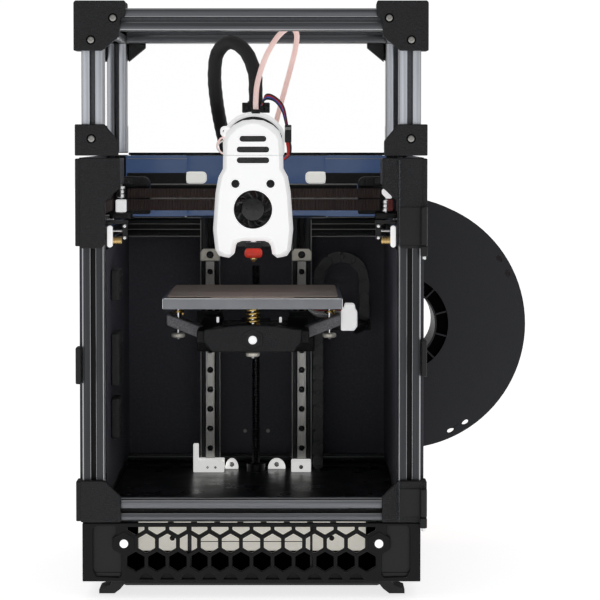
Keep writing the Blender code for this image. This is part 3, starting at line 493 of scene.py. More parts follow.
# ---------------------------------------------------------------- slotted bars
def slot_profile(cx, cy):
    half, corner = BAR / 2, 0.9
    mouth, lip, pocket, floor, depth = 1.6, 1.9, 2.9, 1.5, 4.2
    side = [(half, half - corner), (half - 0.3, half - 0.3), (half - corner, half), (mouth + 0.5, half),
            (mouth, half - 0.5), (mouth, half - lip), (pocket, half - lip), (floor, half - depth),
            (-floor, half - depth), (-pocket, half - lip), (-mouth, half - lip), (-mouth, half - 0.5),
            (-mouth - 0.5, half), (corner - half, half)]
    points = []
    for c, s in ((1, 0), (0, 1), (-1, 0), (0, -1)):
        points += [(cx + c * x - s * y, cy + s * x + c * y) for x, y in side[:-1]]
    return points


def bar(name, axis, centre, start, end, mat, body):
    """A slotted bar along an axis, with painted shade in the slots and a painted highlight tone on the long edges."""
    obj = plate(name, [slot_profile(*centre)], start, end, f"{mat}_{axis}", body, axis, bevel=0, angle=50)
    # slot faces get painted shade, chamfers and corners the painted edge highlight
    obj.data.materials.append(M["slot_grey" if mat == "cover_bar" else "slot_dark"])
    obj.data.materials.append(M[f"{mat}_{axis}_edge"])
    in_slot, in_chamfer, at_corner = BAR / 2 - 0.45, BAR / 2 - 0.4, BAR / 2 - 1.0
    across = [i for i in range(3) if "XYZ"[i] != axis]
    for face in obj.data.polygons:
        if len(face.vertices) != 4:
            continue
        corners = [sorted(abs(obj.data.vertices[v].co[i]) / MM for i in across) for v in face.vertices]
        if all(far < in_slot for near, far in corners):
            face.material_index = 1
        elif all(near > at_corner for near, far in corners) or min(far for near, far in corners) < in_chamfer:
            face.material_index = 2
    return obj


def extent(node):
    """Lowest and highest corner of a CAD node in this file's millimetres."""
    return [(Vector(corner) - ORIGIN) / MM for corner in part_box(node)]


def bar_like(node, mat):
    """A detailed slotted bar that stands for a CAD bar."""
    low, high = extent(node)
    k = max(range(3), key=lambda i: (high - low)[i])
    middle = (low + high) / 2
    centre = [middle[i] for i in range(3) if i != k]
    body = "gantry" if node == "x_beam" else "frame"
    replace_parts(bar(f"bar_{node}", "XYZ"[k], centre, low[k], high[k], mat, body), node)


BARS = {"frame_bar": ("post_front_left", "post_front_right", "base_beam_front", "base_beam_left", "base_beam_right"),
        "dark_bar": ("post_rear_left", "post_rear_right", "base_beam_rear", "upper_beam_rear", "upper_beam_left",
                     "upper_beam_right", "z_column_left", "z_column_right", "x_beam")}
for mat, nodes in BARS.items():
    for node in nodes:
        bar_like(node, mat)
paint("deck_acrylic", "deck_panel")
paint("panel_acrylic", "side_panel_left", "side_panel_right", "rear_panel")
paint("rubber", "foot_front_left", "foot_front_right", "foot_rear_left", "foot_rear_right")
paint("rail_steel", "x_rail")


def walls():
    """Inner faces of the side walls, ribbed pads on the left one and screws in the rear one."""
    for side in ("left", "right"):
        side_block("wall_liner", side, (99.5, 99.9), (15.3, 229.6), (66.8, 236.2), "panel_acrylic", 0.1)
    for i, (low_z, high_z, deep) in enumerate(((199, 221, 75), (139, 176, 80), (102, 130, 75))):
        block(f"wall_duct_{i}", (-99.4, 48, low_z), (-93.4, deep, high_z), "rubber", "frame", 1.2)
        for k in range(3):
            z = low_z + (high_z - low_z) * (k + 1) / 4
            block(f"wall_duct_rib_{i}_{k}", (-93.6, 49, z - 0.5), (-92.9, deep - 1, z + 0.5), "rubber", "frame", 0.2)
    for i, x in enumerate((-9.1, 8.9)):
        screw(f"rear_panel_screw_{i}", (x, 230.2, 84.0), 1.6, "frame", mat="rail_steel", depth=0.8)


walls()


# ---------------------------------------------------------------- printed corners
def corner_prints():
    """Printed covers on the front corners, each with a side face, and clips on the outer sides."""
    housing = [(-116.0, 238.2), (-101.5, 238.2), (-98.9, 241.0), (-98.9, 269.8), (-88.8, 279.4), (-88.8, 299.5),
               (-116.0, 299.5)]
    low = [(-116.0, 51.8), (-88.8, 51.8), (-88.8, 69.4), (-99.4, 80.1), (-116.0, 80.1)]
    for side, sign in SIDES:
        outer = spans(sign, 115.3, 119.2)
        for name, node, outline, flank in (("idler", "idler_housing", housing, ((-3.8, 239.6), (13.5, 299.0))),
                                           ("lower", "base_corner", low, ((-3.8, 52.4), (11.5, 79.8)))):
            cover = f"{name}_cover_{side}" if name == "idler" else f"{name}_corner_{side}"
            front = plate(cover, mirrored(outline, sign), *FRONT_PRINT, "black_print", "frame", bevel=0.7)
            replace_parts(front, f"{node}_{side}")
            plate(f"{name}_side_{side}", rounded(*flank, 1.0), *outer, "black_print", "frame", "X", bevel=0.6)
            if name == "idler":
                side_block("idler_shelf", side, (88.8, 99.7), (-1.0, 36), (281.0, 299.0), "black_smooth", 0.5)
    for name, x, z in (("clip_left", (-119.2, -115.6), (146, 171)), ("clip_right", (115.6, 119.0), (151, 176))):
        block(name, (x[0], -5.0, z[0]), (x[1], 9, z[1]), "black_smooth", "frame", 0.8)


def hinges():
    for place, low, high in (("lower", 56.0, 75.0), ("upper", 240.5, 266.4)):
        strap = block(f"hinge_strap_{place}", (100.4, -5.25, low + 0.3), (116.6, -4.85, high - 0.3), "black_smooth",
                      "door", 0.1)
        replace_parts(strap, f"door_hinge_{place}")
        rod(f"hinge_knuckle_{place}", (116.8, -7.4, (low + high) / 2), 2.35, high - low, "black_smooth", "door",
            edge=0.4)
        block(f"hinge_lug_{place}", (114.4, -9.7, low - 7.5), (119.1, -4.9, low - 0.4), "black_smooth", "frame", 0.8)
        rod(f"hinge_pin_{place}", (116.8, -7.4, low - 8.4), 1.3, 2.2, "bright_steel", "frame", steps=20)


def door():
    paint("clear_acrylic", "door_panel")
    block("door_edge", (100.15, -7.9, 53.4), (100.35, -5.6, 298.3), "acrylic_edge", "door", 0.05)


# ---------------------------------------------------------------- top cover
def top_cover():
    body = "top_hat"
    first = None
    for side, sign in SIDES:
        for place, y in ENDS:
            post = bar(f"cover_post_{place}_{side}", "Z", (sign * (HALF - BAR / 2), y), 301.8, 385.2, "cover_bar", body)
            first = first or post
        bar(f"cover_bar_{side}", "Y", (sign * (HALF - BAR / 2), 393.1), 0.4, REAR - 0.4, "cover_bar", body)
    for place, y in ENDS:
        bar(f"cover_bar_{place}", "X", (y, 393.1), -99.8, 99.8, "cover_bar", body)
    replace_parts(first, "top_hat_frame")

    upper = [(-119.8, 371.8), (-100.8, 371.8), (-89.1, 381.4), (-88.2, 394.0), (-84.8, 395.2), (-84.8, 404.8),
             (-85.6, 405.6), (-118.6, 405.6), (-119.8, 404.4)]
    lower = [(-119.2, 301.0), (-89.8, 301.0), (-89.8, 310.9), (-99.2, 322.2), (-119.2, 322.2)]
    narrow = [(-119.2, 301.0), (-100.0, 301.0), (-100.0, 322.2), (-119.2, 322.2)]
    upper_flank = ((-4.1, 371.8), (14.6, 371.8), (26.5, 381.4), (29.8, 385.0), (29.8, 404.6), (-4.1, 404.6))
    lower_flank = ((-4.1, 301.1), (14.6, 301.1), (14.6, 311.0), (6.0, 322.0), (-4.1, 322.0))
    for side, sign in SIDES:
        for place, depth, foot, face, towards in (("front", FRONT_PRINT, lower, -4.4, -1),
                                                  ("rear", REAR_PRINT, narrow, REAR + 4.4, 1)):
            for name, outline, bevel in (("corner", upper, 0.8), ("foot", foot, 0.7)):
                plate(f"cover_{name}_{place}_{side}", mirrored(outline, sign), *depth, "black_print", body, bevel=bevel)
            for i, (x, z, r) in enumerate(((-93.2, 393.8, 2.7), (-108.1, 379.0, 2.7), (-108.0, 312.4, 2.7))):
                x = -x * sign
                # a flat black ring of painted shade round each screw
                rod(f"cover_rim_{place}_{side}_{i}", (x, face, z), r + 0.5, 0.5, "painted_shade_black", body, "Y", bore=r - 0.5)
                screw(f"cover_screw_{place}_{side}_{i}", (x, face, z), r - 0.4, body, towards=towards,
                      mat="rail_steel", depth=0.9)
        for place, put in (("front", lambda y: y), ("rear", lambda y: REAR - y)):
            for name, flank, outer in (("corner", upper_flank, 119.6), ("foot", lower_flank, 119.0)):
                plate(f"cover_{name}_side_{place}_{side}", [(put(y), z) for y, z in flank], *spans(sign, 115.2, outer),
                      "black_print", body, "X", bevel=0.7)
            side_block(f"cover_corner_lid_{place}", side, (85.4, 119.2), sorted((put(-3.8), put(29.0))),
                       (400.8, 405.5), "black_print", 0.9, body)
        # inner gussets at the rear
        gusset = [(-98.5, 386.5), (-98.5, 371.4), (-85.6, 382.0), (-85.6, 386.5)]
        plate(f"cover_gusset_{side}", mirrored(gusset, sign), REAR - 11, REAR - 3, "black_print", body, bevel=0.5)
    # panes in the slots' middle
    pane_x, pane_y, pane_z, half_pane = 99.7, 15.2, (300.9, 385.4), 1.1
    for place, y in ENDS:
        clear = plate(f"cover_pane_{place}", rounded((-pane_x, pane_z[0]), (pane_x, pane_z[1]), 1.0), y - half_pane,
                      y + half_pane, "clear_acrylic", body, bevel=0.1)
        if place == "front":
            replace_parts(clear, "top_hat_glazing")
    for side, sign in SIDES:
        plate(f"cover_pane_{side}", rounded((pane_y, pane_z[0]), (REAR - pane_y, pane_z[1]), 1.0),
              *spans(sign, 106.4, 108.6), "clear_acrylic", body, "X", bevel=0.1)
    plate("cover_pane_top", rounded((-pane_x, pane_y), (pane_x, REAR - pane_y), 1.0), 396.3, 398.4, "clear_acrylic",
          body, "Z", bevel=0.1)
    for place, y in ENDS:
        block(f"cover_pane_edge_{place}", (-99.6, y - half_pane, pane_z[0]), (99.6, y + half_pane, 301.3),
              "acrylic_edge", body, 0.1)


# ---------------------------------------------------------------- base
PITCH, ROW, HEX, LOW_ROW = 14.3, 12.4, 6.75, 24.9  # the skirt's cells: spacing, radius and first row's height


def hexagon(x, z, radius):
    return [(x + radius * math.sin(k * math.pi / 3), z + radius * math.cos(k * math.pi / 3)) for k in range(6)]


def grille():
    """The front skirt: a rim, hexagonal holes in staggered rows, corner pockets and blind half cells."""
    body, low, top, flat = "frame", 11.3, 51.2, HEX * math.cos(math.pi / 6)
    brim, end_x = top - 2.6, 86.7
    cells = []
    for row, count in enumerate((12, 11, 12)):
        for k in range(count):
            x, z = (k - (count - 1) / 2) * PITCH, LOW_ROW + row * ROW
            cut = [(x - flat, brim), (x - flat, z - HEX / 2), (x, z - HEX), (x + flat, z - HEX / 2), (x + flat, brim)]
            cells.append(cut if row == 2 else hexagon(x, z, HEX))
    # blind half cells under the bottom row
    for k in range(11):
        x = (k - 5) * PITCH
        cells.append([(x - flat + 1.2, 13.0), (x + flat - 1.2, 13.0), (x + 3.0, 15.6), (x, 17.0), (x - 3.0, 15.6)])
    plate("skirt_blind", [(-84, 11.6), (84, 11.6), (84, 18.0), (-84, 18.0)], -1.9, -0.9, "grille_print", body,
          bevel=0.2)
    pocket = [(-107.8, 19.0), (-105.0, 14.6), (-90.4, 14.0), (-88.6, 16.0), (-88.6, 30.4), (-94.6, 33.9),
              (-94.6, 40.9), (-91.9, 43.4), (-92.2, 49.6), (-106.0, 49.6), (-107.8, 47.0)]
    for side, sign in SIDES:
        cells.append(mirrored(pocket, sign))
        x, z = sign * end_x, LOW_ROW + ROW
        plate(f"skirt_cell_{side}", hexagon(x, z, 8.3), -4.5, -3.6, "grille_print", body, bevel=0.3)
        rod(f"skirt_dot_{side}", (x, -4.6, z), 2.9, 0.6, "white_print", body, "Y", edge=0.2)
    face = plate("skirt_grille", [[(-HALF, low), (HALF, low), (HALF, top), (-HALF, top)], *cells], -4.0, -0.6,
                 "grille_print", body, bevel=0.5)
    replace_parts(face, "skirt_front")
    for side, across in (("l", (40.9, 43.6)), ("r", (39.9, 41.6))):
        side_block("skirt_pocket", side, (87.4, 108.5), (-1.6, -0.8), (13.0, 49.9), "black_smooth", 0.2)
        side_block("skirt_pocket_lip", side, (88.8, 107.4), (-2.4, -1.5), (14.4, 17.2), "rubber")
        side_block("skirt_rib", side, across, (-0.5, 1.5), (13.5, 50.6), "black_smooth", 0.2)
        # a dark sheet inside the base, painted shade seen through the holes
        side_block("skirt_inner_shade", side, (0, 110), (3.2, 224), (13.9, 14.4), "painted_shade_black", 0.1)
    block("skirt_shade", (-110, 19.5, 14.4), (110, 20.0, 27.9), "painted_shade_black", body, 0.05)
    # a dark block under the skirt for the printer's shadow beneath it: painted shadow
    block("skirt_under_shadow", (-88, 5, 6.6), (88, 222, 11.0), "black_smooth", body, 2.0)
    paint("black_smooth", "skirt_surround")


def power_unit():
    """The pale power supply behind the skirt and the Z motor's body."""
    case = block("power_case", (-78.5, 19.0, 28.2), (78.5, 114.5, 55.2), "case_cream", "frame", 0.8)
    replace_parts(case, "power_supply")
    block("power_lip", (-36, 18.7, 34.4), (36, 19.0, 34.9), "black_smooth", "frame", 0.05)
    # black discs standing for the case's holes: painted shade
    for i in range(8):
        rod(f"power_hole_{i}", (-56 + i * 16, 18.9, 47.4), 2.2, 0.4, "black_smooth", "frame", "Y", edge=0.1)
    for side, x in (("l", -55), ("r", 55)):
        screw(f"power_screw_{side}", (x, 19.0, 37.0), 1.8, "frame", depth=0.9)
    motor = block("z_motor_body", (-17.5, 172.5, 20.2), (17.5, 207.5, 55.4), "motor_black", "frame", 2.0)
    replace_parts(motor, "z_motor")


# ---------------------------------------------------------------- Z drive
def z_drive():
    """Guide rails with their screws and stops, printed feet, and the lead screw's thread."""
    foot_z, rail_z, hole_pitch = 58.9, (67.4, 218.6), 15
    for side, sign in SIDES:
        x = sign * 35
        heights = [rail_z[0] + 8.0 + hole_pitch * i for i in range(10)]
        face = [(x - 3.5, rail_z[0]), (x + 3.5, rail_z[0]), (x + 3.5, rail_z[1]), (x - 3.5, rail_z[1])]
        rail = plate(f"z_guide_{side}", [face, *[circle(x, z, 2.1) for z in heights]], 194.6, 199.4, "rail_steel",
                     "frame", bevel=0.35)
        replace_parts(rail, f"z_rail_{side}")
        for i, z in enumerate(heights):
            screw(f"z_guide_screw_{side}_{i}", (x, 199.5, z), 1.9, "frame", depth=2.6)
        stop = [(x - 7.6, 218.8), (x + 7.6, 218.8), (x + 7.6, 225.6), (x + 5.4, 228.0), (x - 5.4, 228.0),
                (x - 7.6, 225.6)]
        plate(f"z_stop_{side}", stop, 194.2, 199.4, "zinc", "frame", bevel=0.5)
        screw(f"z_stop_screw_{side}", (x, 194.2, 223.6), 2.8, "frame", depth=1.0)
        # thin bright steel strips along the Z columns' front edges: painted highlights
        for place, edge in (("l", x - 7.3), ("r", x + 7.3)):
            block(f"z_edge_{side}_{place}", (edge - 0.18, 199.85, 60.0), (edge + 0.18, 200.2, 250.0), "rail_steel",
                  "frame", 0.05)
    # printed feet and tabs
    foot = [(-47.4, foot_z), (-24.0, foot_z), (-24.0, 66.2), (-28.4, 68.2), (-43.4, 68.2), (-43.4, 80.3),
            (-47.4, 80.3)]
    plate("rail_foot_left", foot, 179.0, 185.8, "inner_white", "frame", bevel=0.6)
    block("rail_foot_left_base", (-47.2, 185.8, foot_z), (-24.2, 199.2, 67.4), "inner_white", "frame", 0.5)
    block("rail_foot_right", (27.0, 180.0, foot_z), (42.0, 199.2, 66.4), "inner_white", "frame", 0.8)
    for i, x in enumerate((-36.6, -30.6)):
        screw(f"rail_foot_screw_l{i}", (x, 179.1, 62.6), 0.9, "frame", depth=0.5)
    screw("rail_foot_screw_r", (34.5, 180.1, 62.8), 1.6, "frame", mat="rail_steel", depth=0.8)
    for i, (x0, x1) in enumerate(((-23.7, -13.6), (9.1, 22.6))):
        xc, half = (x0 + x1) / 2, (x1 - x0) / 2
        arch = [(xc - half, 59.0), (xc + half, 59.0)]
        arch += [(xc + half * math.cos(a), 59.0 + 7.6 * math.sin(a)) for a in [math.pi * k / 10 for k in range(1, 10)]]
        plate(f"motor_tab_{i}", arch, 196.0, 203.0, "inner_white", "frame", bevel=0.5)
        screw(f"motor_tab_screw_{i}", (xc, 196.1, 62.6), 2.0, "frame", mat="bright_steel", depth=0.9)
    # lead screw with its thread
    crest, root, lead, turns, half = 3.0, 2.35, 2.0, 79, 80.0
    profile = [(0, half)]
    for i in range(turns):
        z = half - 0.5 - lead * i
        profile += [(crest, z), (crest, z - 0.7), (root, z - 1.1), (root, z - 1.6)]
    profile += [(root, -half), (0, -half)]
    thread = lathe("lead_screw_thread", profile, (0, 190, 136.1), "black_screw", "lead_screw", steps=20)
    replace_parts(thread, "lead_screw")
    rod("screw_coupling", (0, 190, 60.5), 7.0, 8.0, "black_smooth", "frame", steps=32, bore=3.3)


# ---------------------------------------------------------------- gantry
def bearing(name, centre, radius, height, body, bore=1.5):
    """A ball bearing: outer race, dark shield and inner race."""
    h = height / 2
    lathe(f"{name}_outer", [(radius - 0.2, h), (radius, h - 0.2), (radius, 0.2 - h), (radius - 0.2, -h),
                            (radius - 0.9, -h), (radius - 0.9, h)], centre, "bright_steel", body, closed=True)
    lathe(f"{name}_shield", [(radius - 0.9, h - 0.15), (radius - 0.9, 0.15 - h), (bore + 0.7, 0.15 - h),
                             (bore + 0.7, h - 0.15)], centre, "black_smooth", body, closed=True)
    rod(f"{name}_inner", centre, bore + 0.7, height, "bright_steel", body, edge=0.1, bore=bore)


def belt(name, start, end, z, body, width=7.0, teeth=1):
    """A toothed belt run along X or Y between two points, its teeth on the given side."""
    (x0, y0), (x1, y1) = start, end
    length, pitch = math.hypot(x1 - x0, y1 - y0), 2.0
    outline = [(0, 0.45), (length, 0.45), (length, -0.35)]
    for i in range(int(length / pitch) - 1, -1, -1):
        s = i * pitch
        outline += [(s + 1.6, -0.35), (s + 1.3, -1.05), (s + 0.7, -1.05), (s + 0.4, -0.35)]
    outline.append((0, -0.35))
    outline = [(u, v * teeth) for u, v in (outline if teeth > 0 else outline[::-1])]
    form = prism_form([outline], -width / 2, width / 2, "Z")
    turn = Matrix.Rotation(math.atan2(y1 - y0, x1 - x0), 4, "Z")
    bmesh.ops.transform(form, matrix=turn, verts=form.verts)
    return finish(mesh_object(name, form, (x0, y0, z)), "belt", body, angle=30)


def gantry():
    """The X beam's belts and end joints, with idler bearings, and the Y rails."""
    body = "gantry"
    # a thin bright strip on the beam's upper front edge: a painted highlight
    block("beam_edge", (-74.6, 105.7, 279.1), (74.6, 106.3, 279.5), "rail_steel", body, 0.1)
    for level, z, width in LEVELS:
        belt(f"belt_{level}_beam", (-91, 96.4), (91, 96.4), z, body, width)
        belt(f"belt_{level}_beam_back", (-91, 100.4), (91, 100.4), z, body, width - 0.6, teeth=-1)
    joint = [(-114.6, 257.6), (-75.7, 257.6), (-75.7, 280.8), (-77.0, 283.6), (-80.0, 284.8), (-112.0, 284.8),
             (-114.6, 282.4)]
    window = [(-104.4, 259.8), (-100.9, 259.8), (-100.9, 277.4), (-104.4, 277.4)]
    cap = [(-95.0, 277.7), (-75.9, 277.7), (-75.9, 281.2), (-77.2, 283.8), (-80.2, 284.7), (-95.0, 284.7)]
    high, low = 274.1, 263.9
    for side, sign in SIDES:
        main = plate(f"xy_block_{side}", [mirrored(joint, sign), mirrored(window, sign)], 106.2, 121.4, "black_print",
                     body, bevel=0.8)
        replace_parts(main, f"xy_joint_{side}")
        plate(f"xy_cap_{side}", mirrored(cap, sign), 101.7, 106.1, "black_print", body, bevel=0.6)
        ears = spans(sign, 87.5, 104.0)
        for level, z0, z1 in (("upper", 279.7, 283.5), ("lower", 254.6, 258.7)):
            plate(f"xy_ear_{level}_{side}", rounded((ears[0], 94.6), (ears[1], 107.0), 4.0), z0, z1, "black_print",
                  body, "Z", bevel=0.5)
        ex = sign * 95.7
        screw(f"xy_ear_screw_{side}", (ex, 99.0, 283.4), 2.4, body, "Z", 1, "bright_steel", depth=0.9)
        metal, white = (high, low) if sign < 0 else (low, high)
        for k, dz in enumerate((-2.9, 0.0, 2.9)):
            bearing(f"xy_bearing_{side}_{k}", (ex, 99.5, metal + dz), 3.7, 2.5, body, bore=1.2)
        rod(f"xy_pin_{side}", (ex, 99.5, 269.0), 1.1, 24, "steel", body, steps=16)
        if sign < 0:
            block("xy_spacer_left", (-99.4, 94.8, white - 4.5), (-91.9, 104.0, white + 4.5), "white_print", body, 0.8)
        else:
            wedge = [(92.4, 272.6), (95.6, 269.2), (99.4, 269.2), (99.4, 277.6), (96.5, 277.6), (92.4, 275.4)]
            plate("xy_spacer_right", wedge, 94.8, 104.0, "white_print", body, bevel=0.7)
            for i in range(5):
                x = 78.0 + 3.2 * i
                block(f"xy_rib_{i}", (x, 101.3, 278.4), (x + 1.4, 101.8, 284.0), "black_smooth", body, 0.2)
            block("belt_end_right", (96.6, 94.6, 260.4), (100.2, 95.4, 268.6), "belt_red", body, 0.2)
        rx = sign * (HALF - BAR / 2)
        block(f"y_rail_{side}", (rx - 3.5, 20, 251.9), (rx + 3.5, 200, 256.4), "steel", "frame", 0.4)
        block(f"y_carriage_{side}", (rx - 7.0, 102, 253.4), (rx + 6.4, 125, 257.3), "bright_steel", body, 0.5)
        x = sign * 102.6
        for level, z, width in LEVELS:
            belt(f"belt_{level}_front_{side}", (x, 20), (x, 94), z, "frame", width)
            belt(f"belt_{level}_rear_{side}", (x, 105), (x, 201), z, "frame", width)


def tensioners():
    """Front belt idlers inside the corner housings, with their tension screws."""
    ribs = [(0, 3.0)]
    for i in range(6):
        z = 3.0 - i
        ribs += [(2.8, z), (2.8, z - 0.45), (2.1, z - 0.6), (2.1, z - 0.9)]
    ribs += [(2.1, -3.0), (0, -3.0)]
    for side, sign in SIDES:
        x = spans(sign, 94.8, 98.4)
        plate(f"idler_pill_{side}", rounded((x[0], 238.4), (x[1], 253.2), 1.7), 6.0, 12.0, "white_print", "frame",
              bevel=0.5)
        lathe(f"tension_spring_{side}", ribs, (sign * 91.5, 9.0, 243.0), "brass", "frame", "X", steps=24)
        rod(f"tension_rod_{side}", (sign * 91.5, 9.0, 249.6), 0.9, 7.0, "steel", "frame", "X", steps=16)
        for k, z in enumerate((245.0, 253.0)):
            screw(f"tension_screw_{side}_{k}", (sign * 86.5, 7.0, z), 1.3, "frame", mat="bright_steel", depth=0.8)
        side_block("tension_block", side, (84.6, 98.6), (7.2, 18), (254.4, 256.4), "black_smooth")
        side_block("tension_arm", side, (84.8, 88.2), (7.2, 14), (243.2, 254.6), "black_smooth", 0.5)


def light_pods():
    """Two lamps on black arms at the rear, each with a rounded white cap."""
    for side, sign in SIDES:
        side_block("lamp_arm", side, (53.0, 98.6), (199.7, 201.0), (277.7, 286.0), "black_smooth")
        x = spans(sign, 37.9, 54.4)
        plate(f"lamp_cap_{side}", rounded((x[0], 277.8), (x[1], 286.9), 3.2), 199.7, 208.0, "led_lens", "frame",
              bevel=1.2)


# ---------------------------------------------------------------- toolhead
def cowl_outline(inset=0.0):
    right = [(7.5, 325.2), (14.0, 322.0), (18.6, 317.6), (20.6, 311.0), (21.2, 300.0), (21.4, 291.0), (24.6, 285.0),
             (26.6, 274.0), (28.4, 248.0), (26.8, 233.5), (24.0, 229.3)]
    right = [(x - inset, z - (inset if z > 315 else -inset if z < 230 else 0)) for x, z in right]
    right += [(19.8, 228.3 + inset), (17.0 + inset * 0.3, 227.9 + inset), (13.6 + inset, 230.6), (12.6 + inset, 236.2),
              (11.2 + inset, 238.6 + inset), (8.0, 239.9 + inset)]
    return [(0, 326.0 - inset), *right, *[(-x, z) for x, z in reversed(right)]]


def cowl():
    """White shell: a narrow front face with chamfered flanks, lofted back to its full width."""
    body = "toolhead"
    stations = ((65.0, 2.9), (65.7, 2.2), (71.5, 0.0), (97.9, 0.0))
    front, lip, fan_z, screw_x, screw_z = stations[0][0], 68.2, 262.3, 12.4, 280.5
    form = bmesh.new()
    rings = [[form.verts.new((x, y, z)) for x, z in cowl_outline(inset)] for y, inset in stations]
    skin(form, rings)
    # front face with its openings: the fan, two screw holes and three vents
    count = len(rings[0])
    edges = [form.edges.get((rings[0][k], rings[0][(k + 1) % count])) for k in range(count)]
    holes = [circle(0, fan_z, 13.65, 40), circle(-screw_x, screw_z, 3.0, 20), circle(screw_x, screw_z, 3.0, 20)]
    for k, half in enumerate((11.5, 11.5, 9.5)):
        z = 295.0 + 7.6 * k
        holes.append(rounded((-half, z), (half, z + 4.2), 2.05))
    hole_rings = []
    for hole in holes:
        verts = [form.verts.new((x, front, z)) for x, z in hole]
        hole_rings.append(verts)
        edges += [form.edges.new((verts[i], verts[(i + 1) % len(verts)])) for i in range(len(verts))]
    bmesh.ops.triangle_fill(form, use_beauty=True, use_dissolve=False, edges=edges)
    for verts in hole_rings:
        skin(form, [verts, [form.verts.new((v.co.x, lip, v.co.z)) for v in verts]])
    shell = finish(mesh_object("cowl_shell", form, (0, 0, 0)), "white_print", body, angle=28)
    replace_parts(shell, "toolhead_cowl")
    # dark sheet behind the openings: painted shade seen through them
    block("cowl_vent_shade", (-15.5, 68.4, 287.0), (15.5, 69.4, 317.0), "fan_black", body, 0.2)
    for side, x in (("l", -screw_x), ("r", screw_x)):
        screw(f"cowl_screw_{side}", (x, 66.9, screw_z), 2.8, body, depth=1.5)


def fan():
    """The hotend fan: a fixed square housing, and a turning hub with seven blades."""
    plate("fan_housing", [rounded((-14.6, 247.7), (14.6, 276.9), 2.0), circle(0, 262.3, 13.3, 40)], 68.6, 75.0,
          "fan_black", "toolhead", bevel=0.3)
    hub = lathe("fan_hub", [(0, 3.2), (6.6, 3.2), (7.9, 2.6), (8.3, 1.6), (8.3, -3.0), (0, -3.0)], (0, 70.3, 262.3),
                "fan_black", "fan", "Y", 36)
    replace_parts(hub, "hotend_fan_rotor")
    form = bmesh.new()
    for k in range(7):
        rows = []
        for t in [i / 5 for i in range(6)]:
            r, row = 7.9 + 4.9 * t, []
            for s in [j / 4 - 0.5 for j in range(5)]:
                a = 2 * math.pi * k / 7 + 0.28 * t + s * (0.62 - 0.10 * t)
                row.append(form.verts.new((r * math.cos(a), s * 4.6 * (1 - 0.15 * t), r * math.sin(a))))
            rows.append(row)
        skin(form, rows, around=False)
    blades = mesh_object("fan_blades", form, (0, 70.6, 262.3))
    thick = blades.modifiers.new("thickness", "SOLIDIFY")
    thick.thickness = 0.0006
    finish(blades, "fan_black", "fan")
    block("fan_label", (-3.0, 67.15, 258.0), (3.0, 67.35, 266.0), "black_screw", "fan", 0.05)


